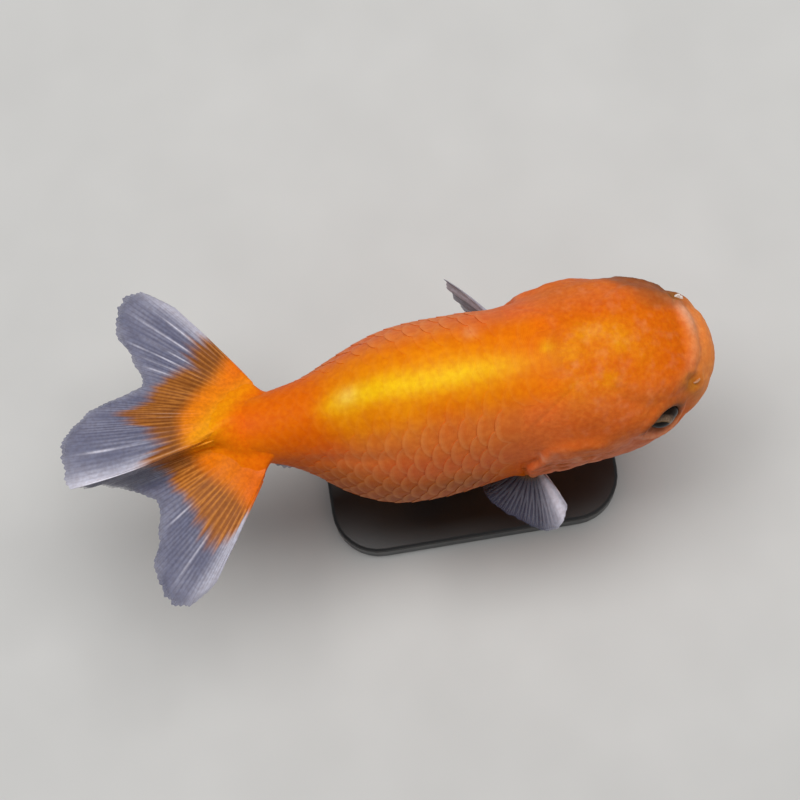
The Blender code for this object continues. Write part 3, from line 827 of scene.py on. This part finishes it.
class Fan:
    """A fin's middle surface: places on it by share across the fin and run along its rays.

    Each kind of fin says how many rays and rows it has, how far its rays lift, how thick it is at
    its root and its edge, and how much of its root swells and is buried."""

    def __init__(self, name, roots, rays):
        self.name = name
        self.side = name.rsplit("_", 1)[1]
        sign = dict(SIDES)[self.side]
        first, last = (np.array((r[0], sign * r[1], r[2])) for r in roots)
        self.shares = np.linspace(0, 1, FAN_STEPS + 1)
        azimuth, elevation, self.length, *curl = curve_through(rays, self.shares).T
        curl = curl[0] if curl else self.lift
        place = first + (last - first) * self.shares[:, None]
        grid = [to_model(*place.T)]
        for k in range(RAY_STEPS):
            bend = 0.5 - (k + 0.5) / RAY_STEPS
            turn, rise = np.radians(azimuth + curl * bend), np.radians(elevation + self.lift * bend)
            level = np.cos(rise)
            way = stacked(level * np.cos(turn), sign * level * np.sin(turn), np.sin(rise))
            place = place + way * (self.length / RAY_STEPS)[:, None]
            grid.append(to_model(*place.T))
        self.grid = np.stack(grid, axis=1)
        normal = unit(np.cross(np.gradient(self.grid, axis=0), np.gradient(self.grid, axis=1)))
        self.normal = normal * np.sign(normal[FAN_STEPS // 2, RAY_STEPS // 2, 2])

    def read(self, field, share, run):
        return read_grid(field, np.clip(share, 0, 1) * FAN_STEPS, run * RAY_STEPS)

    def waved(self, share, run, off):
        """Points on the gently waved fin, that far off its middle."""
        wave = 0.55 * run**1.5 * fin_clouds(share, run, 7, 1.6, 41)
        wave = wave + 0.25 * run * np.sin(share * 2 * math.pi * 5.5 + 2 * run)
        point = self.read(self.grid, share, run)
        return point + self.read(self.normal, share, run) * (wave + off)[..., None]

    def mm_along(self, share, run):
        return run * np.interp(share, self.shares, self.length)

    def fine_half(self, run):
        """Half the fin's thickness, finer and finer along its rays."""
        return blend(self.thick, self.thin, np.clip(run, 0, 1) ** 0.55) / 2

    def fleshy_half(self, run, mm):
        """The same, swollen at the root."""
        return self.fine_half(run) + self.swell * hump(mm, 7.5)

    def ray_gap(self, share, run):
        """How far a place is from the nearest ray, as a share of the space between two rays."""
        gap = np.abs((share * self.count) % 1.0 - 0.5)
        for fork in range(len(RAY_FORKS) - 1):
            gap = np.abs(gap - fork_spread(fork, run))
        return gap


class TailFan(Fan):
    count, rows, lift = 27, 90, 6.0
    thick, thin, swell, buried = 1.6, 0.3, 2.0, 0.22
    parts = ("_upper", "_side")

    def colours(self, share, run, on_ray):
        """Orange at the root, tan and brown stripes, then lavender membrane with white rays."""
        left = self.side == "left"
        edge = np.interp(share, *np.array(ORANGE_REACH[self.side]).T)
        edge = edge + 0.028 * ragged(share, self.count * 2, 51)
        edge = edge + 0.03 * fin_clouds(share, run, 40, 6, 53)
        outer = ease(-0.07, 0.06, run - edge)
        stripes = ease(11.6, 16.4, self.mm_along(share, run) + 0.9 * np.cos(share * 9))
        ray = np.maximum(on_ray, hump(self.ray_gap(share, run), 0.17))
        ray = ray * (0.72 + 0.5 * fin_clouds(share, run, 22, 7, 57)).clip(0, 1)
        folded = 0 * share if left else ease(0.46, 0.36, share)
        tan, brown = (TAN * 0.8, BROWN * 0.85) if left else (TAN * 1.15, BROWN * 1.35)
        brown = towards(brown, TAN, 0.6 * folded)
        tint = markings(*to_fish(self.read(self.grid, share, run)))
        tint = towards(tint, towards(brown, tan, ray * (1 - 0.7 * folded)), 0.92 * stripes)
        front = hump(share - 0.97, 0.07) + left * hump(share, 0.05)
        pale = np.clip(0.2 * ray + 0.5 * front + 0.6 * self.white_rays(share, run), 0, 1)
        far = towards(LAVENDER, RAY_WHITE, 0.3 * folded)
        tint = towards(tint, towards(far, RAY_WHITE, pale), outer)
        thin = 0.86 - 0.16 * ease(0.92, 1.0, run) - 0.3 * folded
        cover = (1 - 0.15 * folded * stripes) * (1 - outer) + outer * (thin + 0.25 * pale)
        return tint, np.clip(cover, 0, 1)

    def white_rays(self, share, run):
        """1 on the few rays that stand out white, in broken lengths."""
        lines = np.max([hump(share - place, 0.0045) for place in WHITE_RAYS[self.side]], axis=0)
        broken = fin_clouds(share, run, 30, 9, 55)
        return lines * np.clip(0.55 + 0.7 * broken, 0, 1) * ease(0.98, 0.8, run)


class SmallFan(Fan):
    count, rows, lift = 13, 40, 10.0
    thick, thin, swell, buried = 1.1, 0.25, 0.5, 0.0
    parts = ("",)

    def colours(self, share, run, on_ray):
        """Orange at the very root, then lavender membrane and white rays, whitest in front."""
        root = ease(4.5, 1.0, self.mm_along(share, run))
        everywhere = 0.5 if self.name == "pectoral_fin_left" else 0.0
        leading = np.maximum(hump(share - 0.12, 0.16), everywhere)
        if on_ray:
            tint = towards(towards(RAY_WHITE * 0.24, RAY_WHITE, leading), GOLD, root)
        else:
            tint = towards(towards(LAVENDER * 0.7, RAY_WHITE, 0.75 * leading), GOLD * 0.8, root)
        return tint, np.clip(0.5 + 0.4 * leading + 0.5 * root, 0, 1)


def make_membrane(fan, material):
    """The fin's skin: a thin closed sheet, fleshy at its root, ridged over its rays and fine at its
    ragged edge. Its corners at the root are buried."""
    columns = 16 * fan.count + 1
    runs = np.linspace(0, 1, fan.rows) ** 0.9
    share, run = np.meshgrid(np.linspace(0, 1, columns), runs, indexing="ij")
    share = 0.5 + (share - 0.5) * (1 - fan.buried * ease(7, 1, fan.mm_along(share, run)))
    edge = 1 + 0.004 * np.sin(share * 4 * math.pi * TailFan.count)
    edge = edge + 0.012 * fin_clouds(share, run, 45, 0, 43)
    run = run * edge
    mm = fan.mm_along(share, run)
    half = fan.fleshy_half(run, mm) * (1 - 3 * fan.buried * ease(8, 2, mm))
    rim = np.minimum(np.minimum(share, 1 - share) * 40, (edge - run) * 30).clip(0)
    half = half * np.sqrt(np.clip(rim, 0.12, 1))
    half = half + 0.07 * hump(fan.ray_gap(share, run), 0.16) * ease(9, 15, mm) * np.clip(rim, 0, 1)
    points = np.concatenate([fan.waved(share, run, way).reshape(-1, 3) for way in (half, -half)])
    faces = two_sided(*share.shape).tolist()
    replaced = [fan.name + part for part in fan.parts]
    mesh = new_piece(fan.name, points, faces, material, replaced).data
    mesh.set_sharp_from_angle(angle=CRISP)
    tint, cover = fan.colours(share, run, 0)
    store(mesh, marking=np.tile(tint.reshape(-1, 3), (2, 1)), cover=np.tile(cover.ravel(), 2))


def node(tree, kind, inputs=None, **settings):
    """Adds a node with its settings. An input is a plain value or another node's output."""
    new = tree.nodes.new(kind)
    for key, value in settings.items():
        setattr(new, key, value)
    for key, value in (inputs or {}).items():
        if isinstance(value, bpy.types.NodeSocket):
            tree.links.new(value, new.inputs[key])
        else:
            new.inputs[key].default_value = value
    return new


def ray_tree():
    """Turns paths into tapering rods, each as thick as its points' width says."""
    tree = bpy.data.node_groups.new("bony_rays", "GeometryNodeTree")
    for name, way, kind in (
        ("Paths", "INPUT", "Geometry"),
        ("Sides", "INPUT", "Int"),
        ("Radius per width", "INPUT", "Float"),
        ("Finish", "INPUT", "Material"),
        ("Rays", "OUTPUT", "Geometry"),
    ):
        tree.interface.new_socket(name, in_out=way, socket_type="NodeSocket" + kind)
    given = node(tree, "NodeGroupInput").outputs
    curves = node(tree, "GeometryNodeMeshToCurve", {"Mesh": given["Paths"]})
    named = node(tree, "GeometryNodeInputNamedAttribute", {"Name": "width"}, data_type="FLOAT")
    width = named.outputs["Attribute"]
    sized = {"Curve": curves.outputs["Curve"], "Radius": width}
    sized = node(tree, "GeometryNodeSetCurveRadius", sized)
    circle = {"Resolution": given["Sides"], "Radius": given["Radius per width"]}
    circle = node(tree, "GeometryNodeCurvePrimitiveCircle", circle)
    swept = {"Curve": sized.outputs["Curve"], "Profile Curve": circle.outputs["Curve"]}
    rods = node(tree, "GeometryNodeCurveToMesh", {**swept, "Fill Caps": True})
    if "Scale" in rods.inputs:
        tree.links.new(width, rods.inputs["Scale"])
    real = node(tree, "GeometryNodeRealizeInstances", {"Geometry": rods.outputs["Mesh"]})
    coated = {"Geometry": real.outputs["Geometry"], "Material": given["Finish"]}
    coated = node(tree, "GeometryNodeSetMaterial", coated)
    node(tree, "NodeGroupOutput", {"Rays": coated.outputs["Geometry"]})
    return tree


def grown(name, paths, tree, values):
    """The plain mesh that the tree makes of a mesh of paths."""
    carrier = placed(name + "_paths", paths)
    growth = carrier.modifiers.new("growth", "NODES")
    growth.node_group = tree
    for item in tree.interface.items_tree:
        if item.in_out == "INPUT" and item.name in values:
            growth[item.identifier] = values[item.name]
    return placed(name, made_plain(carrier, name))


def make_rays(fan, tree, material):
    """The fin's bony rays, which fork twice on their way to the edge and stand a little proud."""
    points, edges, widths, tints, covers = [], [], [], [], []
    total = 0
    for ray in range(fan.count):
        for level, (start, end, steps) in enumerate(RAY_FORKS):
            for branch in range(2**level):
                run = np.linspace(start, end, steps + 1)
                share = np.full(steps + 1, (ray + 0.5) / fan.count)
                for fork in range(level):
                    way = 1 if (branch >> fork) & 1 else -1
                    share = share + way * fork_spread(fork, run) / fan.count
                share = np.clip(share, 0.004, 0.996)
                points.append(fan.waved(share, run, run * 0))
                proud = np.interp(run, *np.array(RAY_PROUD).T)
                widths.append(2 * (fan.fine_half(run) + proud) * MM)
                tint, cover = fan.colours(share, run, 1)
                tints.append(tint)
                covers.append(np.clip(cover + 0.2 * ease(0.96, 0.7, run), 0, 1))
                edges += [(total + k, total + k + 1) for k in range(steps)]
                total += steps + 1
    paths = new_mesh(fan.name + "_ray_paths", np.concatenate(points), edges=edges)
    fields = {"width": widths, "marking": tints, "cover": covers}
    store(paths, **{name: np.concatenate(values) for name, values in fields.items()})
    values = {"Sides": RAY_SIDES, "Radius per width": 0.5, "Finish": material}
    settled(grown(fan.name + "_rays", paths, tree, values), material)


ROOT_FRONT = 101.0
ROOT_REACH = 12.0
ROOT_GRID = (40, 16)
ROOT_VOXEL = 0.4
ROOT_SMOOTHING = 36


def make_tail_root(body, fans, material):
    """The flesh that spreads from the stem into the tail, drawn over them as one smooth form."""
    stem = body[SNOUT_X - body.mean(axis=1)[:, 0] > ROOT_FRONT]
    points, faces = closed_tube(stem, stem[[0, -1]].mean(axis=1))
    share, mm = np.linspace(0, 1, ROOT_GRID[0]), np.linspace(0, ROOT_REACH, ROOT_GRID[1])
    share, mm = np.meshgrid(share, mm, indexing="ij")
    for fan in fans:
        run = mm / np.interp(share, fan.shares, fan.length)
        half = fan.fleshy_half(run, mm) - 0.3 * ease(4, 9, mm)
        half = half * np.sqrt(np.clip(np.minimum(share, 1 - share) * 16, 0.75, 1))
        faces += (two_sided(*ROOT_GRID) + len(points)).tolist()
        sides = [fan.waved(share, run, way).reshape(-1, 3) for way in (half, -half)]
        points = np.concatenate([points, *sides])
    carrier = placed("tail_root", new_mesh("tail_root", points, faces))
    joined = carrier.modifiers.new("joined", "REMESH")
    joined.mode, joined.voxel_size = "VOXEL", ROOT_VOXEL * MM
    whole = made_plain(carrier, "tail_root")
    shape = bmesh.new()
    shape.from_mesh(whole)
    axes = {"use_axis_x": True, "use_axis_y": True, "use_axis_z": True}
    for _ in range(ROOT_SMOOTHING):
        bmesh.ops.smooth_vert(shape, verts=shape.verts, factor=0.5, **axes)
    shape.normal_update()
    for vertex in shape.verts:
        behind = SNOUT_X - vertex.co.x / MM
        away = math.hypot(behind - 107, vertex.co.y / MM)
        swollen = 0.42 * float(ease(104, 112, behind) * ease(13, 8, away)) - 0.14
        vertex.co += vertex.normal * MM * swollen
    shape.to_mesh(whole)
    shape.free()
    settled(placed("tail_root", whole), material)
    places = np.array([vertex.co / MM for vertex in whole.vertices])
    store(whole, marking=markings(*to_fish(places)))


def make_fins(body, flesh, membrane, bone):
    tree = ray_tree()
    tails = [TailFan("tail_fin_" + side, TAIL_ROOTS[side], TAIL_RAYS[side]) for side, _ in SIDES]
    make_tail_root(body, tails, flesh)
    for fan in tails + [SmallFan(name, *outline) for name, outline in SMALL_FINS.items()]:
        make_membrane(fan, membrane)
        make_rays(fan, tree, bone)


# Eyes

EYE_SIDES, EYE_RINGS = 56, 40


def make_eyes(ball):
    """Smooth balls with a slight bulge over the iris, looking outwards and a little up."""
    across = np.arange(EYE_SIDES) * 2 * math.pi / EYE_SIDES
    down = np.linspace(0, math.pi, EYE_RINGS)[:, None]
    reach = EYE_RADIUS * (1 + 0.025 * hump(down, 0.45) - 0.03 * hump(down - 0.86, 0.14))
    flat = reach * np.sin(down)
    rings = stacked(flat * np.cos(across), flat * np.sin(across), reach * np.cos(down))
    points, faces = closed_tube(rings[1:-1], rings[[0, -1], 0])
    spread = np.arctan2(np.linalg.norm(points[:, :2], axis=1), points[:, 2])
    for side, sign in SIDES:
        name = "eye_" + side
        centre = np.array(box_middle(name)) / MM - np.array((1.1, 0.4 * sign, 0.3))
        look = Vector((-0.04, sign, 0.1)).normalized()
        along = Vector((0, 0, 1)).cross(look).normalized()
        turn = np.array((along, look.cross(along), look))
        eye = new_piece(name, centre + points @ turn, faces, ball, (name,))
        store(eye.data, from_middle=spread / math.pi)


# Nostril flaps


def make_flaps(material):
    """A small crinkled petal of flesh at each nostril."""
    share, run = np.meshgrid(np.linspace(-1, 1, 33), np.linspace(0, 1, 17), indexing="ij")
    frill = 0.1 * run * np.sin(share * 9) + 0.05 * run * np.sin(share * 19 + 1)
    round_top = np.sqrt(np.clip(1 - 0.75 * share**2, 0, 1))
    width = np.sqrt(1 - (share * 0.98) ** 4) ** 0.3 * share * (0.62 + 0.38 * run)
    half = blend(0.42, 0.14, run)
    for side, sign in SIDES:
        name = "nostril_flap_" + side
        low, high = (np.array(corner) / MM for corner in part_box(name))
        middle, size = (low + high) / 2 - np.array((1.1, 0.7 * sign, 0.0)), high - low
        x = middle[0] + size[0] * 0.36 * width + frill
        cupped = run * 0.4 - 0.45 - 0.35 * share**2
        y = middle[1] + sign * size[1] * cupped + frill * 0.5
        z = low[2] + 0.6 + 0.62 * size[2] * run * round_top
        points = [stacked(x, y + way, z).reshape(-1, 3) for way in (half, -half)]
        faces = two_sided(*share.shape).tolist()
        flap = new_piece(name, np.concatenate(points), faces, material, (name,))
        milky = 1.0 if side == "left" else 0.12  # the right flap is pinker
        store(flap.data, run=np.tile(run.ravel(), 2) * milky)


# Finishes

MIX_A, MIX_B, MIX_COLOUR = 6, 7, 2  # a Mix node's colour sockets, which share names with its others
RED_GOES_DEEP = (1.0, 0.35, 0.12)


def hex_colour(code):
    return (*linear(code), 1.0)


def ramped(ramp, stops):
    """Puts the stops, each a place and an sRGB hex colour, on a colour ramp."""
    elements = ramp.color_ramp.elements
    while len(elements) < len(stops):
        elements.new(0.5)
    for element, (place, tint) in zip(elements, stops):
        element.position = place
        element.color = hex_colour(tint)
    return ramp.outputs["Color"]


class Finish:
    """A material being made. Its patterns use the piece's own places, and millimetres."""

    def __init__(self, name):
        self.material = bpy.data.materials.new(name)
        self.material.use_nodes = True
        self.tree = self.material.node_tree
        self.tree.nodes.clear()
        self.places = self.add("ShaderNodeTexCoord").outputs["Object"]

    def add(self, kind, inputs=None, **settings):
        return node(self.tree, kind, inputs, **settings)

    def over_noise(self, kind, feed, size, detail, inputs=None):
        """A node of that kind that is fed with noise."""
        noise = {"Vector": self.places, "Scale": 1 / (size * MM), "Detail": detail}
        noise = self.add("ShaderNodeTexNoise", noise).outputs["Fac"]
        return self.add(kind, {feed: noise, **(inputs or {})})

    def clouded(self, size, stops, detail=2.0):
        """Soft patches of the stops' colours."""
        return ramped(self.over_noise("ShaderNodeValToRGB", "Fac", size, detail), stops)

    def by_number(self, name, stops):
        """The stops' colours at a number stored on the piece."""
        stored = self.add("ShaderNodeAttribute", attribute_name=name).outputs["Fac"]
        return ramped(self.add("ShaderNodeValToRGB", {"Fac": stored}), stops)

    def speckled(self, base, size, share, dark):
        """The base colour with soft darker speckles."""
        specks = self.clouded(size, ((0.36, dark), (0.66, "#FFFFFF")), 4.0)
        mixed = {"Factor": share, MIX_A: base, MIX_B: specks}
        mixed = self.add("ShaderNodeMix", mixed, data_type="RGBA", blend_type="MULTIPLY")
        return mixed.outputs[MIX_COLOUR]

    def marked(self, size, share, dark):
        """The colours stored on the piece, speckled."""
        stored = self.add("ShaderNodeAttribute", attribute_name="marking").outputs["Color"]
        return self.speckled(stored, size, share, dark)

    def worn(self, size, low, high, detail=2.0):
        """Roughness that drifts from low to high."""
        ends = {"To Min": low, "To Max": high}
        return self.over_noise("ShaderNodeMapRange", "Value", size, detail, ends).outputs[0]

    def grained(self, size, depth, strength, detail=2.0, over=None):
        """Fine relief of that depth, over a coarser one if there is one."""
        relief = {"Distance": depth * MM, "Strength": strength}
        if over is not None:
            relief["Normal"] = over
        return self.over_noise("ShaderNodeBump", "Height", size, detail, relief).outputs["Normal"]

    def shown(self, tint, roughness, relief=None, ior=None, level=None, flesh=None, **others):
        """The finished material, in its one shader. Flesh says how far light goes in."""
        inputs = {"Base Color": tint, "Roughness": roughness, "Normal": relief, **others}
        inputs.update({"IOR": ior, "Specular IOR Level": level})
        if flesh:
            weight, colours, depth = flesh
            inputs.update({"Subsurface Weight": weight, "Subsurface Radius": colours})
            inputs["Subsurface Scale"] = depth * MM
        given = {name: value for name, value in inputs.items() if value is not None}
        shader = self.add("ShaderNodeBsdfPrincipled", given)
        self.add("ShaderNodeOutputMaterial", {"Surface": shader.outputs["BSDF"]})
        return self.material


def skin_finish():
    """Goldfish skin: thick, soft and moist, so light goes a little way in and comes out warm, and
    the gloss is broken by grain about half a millimetre across, and finer."""
    f = Finish("goldfish skin")
    cells = f.add("ShaderNodeTexVoronoi", {"Vector": f.places, "Scale": 1 / (0.55 * MM)})
    cells = {"Height": cells.outputs["Distance"], "Distance": 0.06 * MM, "Strength": 0.5}
    cells = f.add("ShaderNodeBump", cells).outputs["Normal"]
    base, rough = f.marked(1.1, 0.55, "#E8C6B0"), f.worn(2.5, 0.42, 0.58)
    relief = f.grained(0.3, 0.035, 0.6, over=cells)
    return f.shown(base, rough, relief, 1.36, 0.1, flesh=(0.12, RED_GOES_DEEP, 1.2))


def scale_finish():
    """Goldfish scale: a thin bony plate in clear skin over silvery pigment, so it shines softly, with
    growth rings about a fifth of a millimetre apart. Its rear rim is painted paler, partly its own
    silvery edge and partly a painted highlight where the rim catches the light."""
    f = Finish("goldfish scale")
    # The rims are painted paler: partly the scale's own silvery edge, partly a painted highlight.
    pale = ((0.0, "#000000"), (0.80, "#000000"), (0.95, "#8C8C8C"), (1.0, "#5A5A5A"))
    paleness = f.add("ShaderNodeAttribute", attribute_name="paleness").outputs["Fac"]
    pale = {0: f.by_number("rim", pale), 1: paleness}
    pale = f.add("ShaderNodeMath", pale, operation="MULTIPLY").outputs[0]
    base = {"Factor": pale, MIX_A: f.marked(1.6, 0.5, "#E8C4AA"), MIX_B: hex_colour("#EEA060")}
    base = f.add("ShaderNodeMix", base, data_type="RGBA").outputs[MIX_COLOUR]
    rim = f.add("ShaderNodeAttribute", attribute_name="rim").outputs["Fac"]
    rings = f.add("ShaderNodeMath", {0: rim, 1: 110.0}, operation="MULTIPLY").outputs[0]
    rings = f.add("ShaderNodeMath", {0: rings}, operation="SINE").outputs[0]
    rings = {"Height": rings, "Distance": 0.012 * MM, "Strength": 0.5}
    rings = f.add("ShaderNodeBump", rings).outputs["Normal"]
    rough, relief = f.worn(1.5, 0.4, 0.55), f.grained(0.35, 0.03, 0.5, over=rings)
    return f.shown(base, rough, relief, 1.38, 0.1, flesh=(0.08, RED_GOES_DEEP, 0.8))


def membrane_finish():
    """Fin membrane: clear, thin skin, so what is behind shows through it faintly, with fine
    wrinkles between the rays about half a millimetre apart."""
    f = Finish("fin membrane")
    base, rough = f.marked(0.9, 0.42, "#BFB2AC"), f.worn(1.5, 0.4, 0.55)
    relief = f.grained(0.5, 0.05, 0.6, detail=3.0)
    clear = f.add("ShaderNodeAttribute", attribute_name="cover").outputs["Fac"]
    clear = f.add("ShaderNodeMath", {0: clear, 1: 1.6}, operation="POWER").outputs[0]
    return f.shown(base, rough, relief, 1.4, 0.25, Alpha=clear)


def bone_finish():
    """Fin ray: a bony rod of short joints under the membrane, satin and milky where it is bare of
    pigment, with a joint about every half millimetre."""
    f = Finish("fin ray bone")
    base, rough = f.marked(1.0, 0.4, "#C4B2A8"), f.worn(1.2, 0.35, 0.5)
    relief = f.grained(0.5, 0.05, 0.5, detail=1.0)
    clear = f.add("ShaderNodeAttribute", attribute_name="cover").outputs["Fac"]
    return f.shown(base, rough, relief, 1.5, Alpha=clear)


def eyeball_finish():
    """Eyeball: silvery brown iris in fine streaks round a deep black pupil, wet and glossy."""
    f = Finish("goldfish eyeball")
    pupil = (0.0, "#060505"), (0.128, "#080706")
    iris = (0.138, "#8E6E48"), (0.155, "#A0866C"), (0.20, "#8A705C"), (0.245, "#5E4C40")
    dark_edge = (0.27, "#2C2019"), (1.0, "#221812")
    tint = f.by_number("from_middle", pupil + iris + dark_edge)
    base = f.speckled(tint, 0.5, 0.6, "#9A8A76")
    return f.shown(base, f.worn(0.8, 0.12, 0.2), f.grained(0.25, 0.02, 0.3), 1.376, 0.12)


def flap_finish():
    """Nostril flap: a fold of bare skin with little pigment, milky white and pink at its root."""
    f = Finish("pale nasal skin")
    tint = ((0.0, "#C98A56"), (0.35, "#D9BFA6"), (0.7, "#DCD6CE"), (1.0, "#EFEDEA"))
    tint = f.by_number("run", tint)
    base, rough = f.speckled(tint, 0.5, 0.5, "#BFA894"), f.worn(1.0, 0.35, 0.5)
    relief = f.grained(0.35, 0.05, 0.6)
    return f.shown(base, rough, relief, 1.4, flesh=(0.15, (1.0, 0.6, 0.5), 0.6))


def lacquer_finish():
    """Lacquered hardwood: smooth satin black with the faintest dust and orange peel in the coat."""
    f = Finish("satin black lacquer")
    base = f.speckled(hex_colour("#1B1A1A"), 6.0, 0.4, "#B5AFAA")
    rough = f.worn(4.0, 0.26, 0.4, detail=5.0)
    return f.shown(base, rough, f.grained(0.9, 0.02, 0.4), 1.5)


def steel_finish():
    """Stainless steel rod, brushed round and round, so its gloss spreads along it in fine rings."""
    f = Finish("brushed stainless steel")
    rings = {"Vector": f.places, "Scale": (0.02, 0.02, 1.0)}
    f.places = f.add("ShaderNodeMapping", rings).outputs["Vector"]
    base = f.clouded(0.15, ((0.3, "#A9ABAE"), (0.7, "#CBCDCF")), 4.0)
    rough, relief = f.worn(0.15, 0.24, 0.4, detail=4.0), f.grained(0.15, 0.01, 0.5, detail=4.0)
    return f.shown(base, rough, relief, Metallic=1.0)


def paper_finish():
    """Studio paper: matt, pale and even."""
    f = Finish("pale studio paper")
    tint = f.clouded(30.0, ((0.3, "#C9C8C5"), (0.7, "#CECDCA")))
    return f.shown(tint, 0.9)


# The studio

VIEW_TARGET = Vector((-0.0151, 0.0, 0.0649))
VIEW_DISTANCE = 0.430
VIEW_ELEVATION = math.radians(75.0)
VIEW_ROLL = math.radians(9.4)
LAMP_AIM = Vector((0.0, 0.0, 0.05))
FLOOR_REACH = 3000.0


def make_camera():
    """Looks down on the fish, steeply and a little from its right, turned in its own view."""
    back = Vector((0.0, -math.cos(VIEW_ELEVATION), math.sin(VIEW_ELEVATION)))
    right = Vector((1.0, 0.0, 0.0))
    up = back.cross(right)
    turned_right = right * math.cos(VIEW_ROLL) - up * math.sin(VIEW_ROLL)
    turned_up = right * math.sin(VIEW_ROLL) + up * math.cos(VIEW_ROLL)
    lens = bpy.data.cameras.new("camera")
    lens.lens, lens.sensor_width = 85.0, 36.0
    lens.clip_start, lens.clip_end = 0.01, 20.0
    camera = placed("camera", lens)
    facing = Matrix((turned_right, turned_up, back)).transposed().to_4x4()
    camera.matrix_world = Matrix.Translation(VIEW_TARGET + back * VIEW_DISTANCE) @ facing
    bpy.context.scene.camera = camera


def make_lamp(name, place, size, power):
    """A soft lamp that shines from its place towards the fish."""
    light = bpy.data.lights.new(name, "AREA")
    light.shape = "RECTANGLE"
    light.size, light.size_y = size
    light.energy = power
    away = (Vector(place) - LAMP_AIM).normalized().to_track_quat("Z", "Y").to_matrix().to_4x4()
    placed(name, light).matrix_world = Matrix.Translation(place) @ away


def make_studio():
    """Plain paper, a long soft lamp over the back, a weak wide one and an even sky.

    Colours are shown as they are, so that bright orange stays orange."""
    scene = bpy.context.scene
    scene.view_settings.view_transform = "Standard"
    corners = np.array(((-1, -1, 0), (1, -1, 0), (1, 1, 0), (-1, 1, 0))) * FLOOR_REACH
    floor = placed("floor", new_mesh("floor", corners, [(0, 1, 2, 3)]))
    floor.data.materials.append(paper_finish())
    make_lamp("overhead_lamp", (0.0, 0.12, 0.88), (1.0, 0.36), 7.1)
    make_lamp("wide_lamp", (0.5, -0.9, 0.9), (1.0, 1.0), 0.6)
    scene.world = bpy.data.worlds.new("studio_air")
    scene.world.use_nodes = True
    tree = scene.world.node_tree
    tree.nodes.clear()
    air = node(tree, "ShaderNodeBackground", {"Color": hex_colour("#E4E6EA"), "Strength": 0.32})
    node(tree, "ShaderNodeOutputWorld", {"Surface": air.outputs["Background"]})


def finish_stand():
    """The stand's base and rod are shown as they are, in lacquer and steel."""
    for name, material in (("stand_base", lacquer_finish()), ("stand_rod", steel_finish())):
        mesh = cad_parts[name].data
        mesh.materials.clear()
        mesh.materials.append(material)


make_camera()
make_studio()
body = measured_body()
flesh = skin_finish()
surface = dressed_skin(body)
make_skin(surface, flesh)
make_scales(surface, scale_finish())
make_fins(body, flesh, membrane_finish(), bone_finish())
make_eyes(eyeball_finish())
make_flaps(flap_finish())
finish_stand()
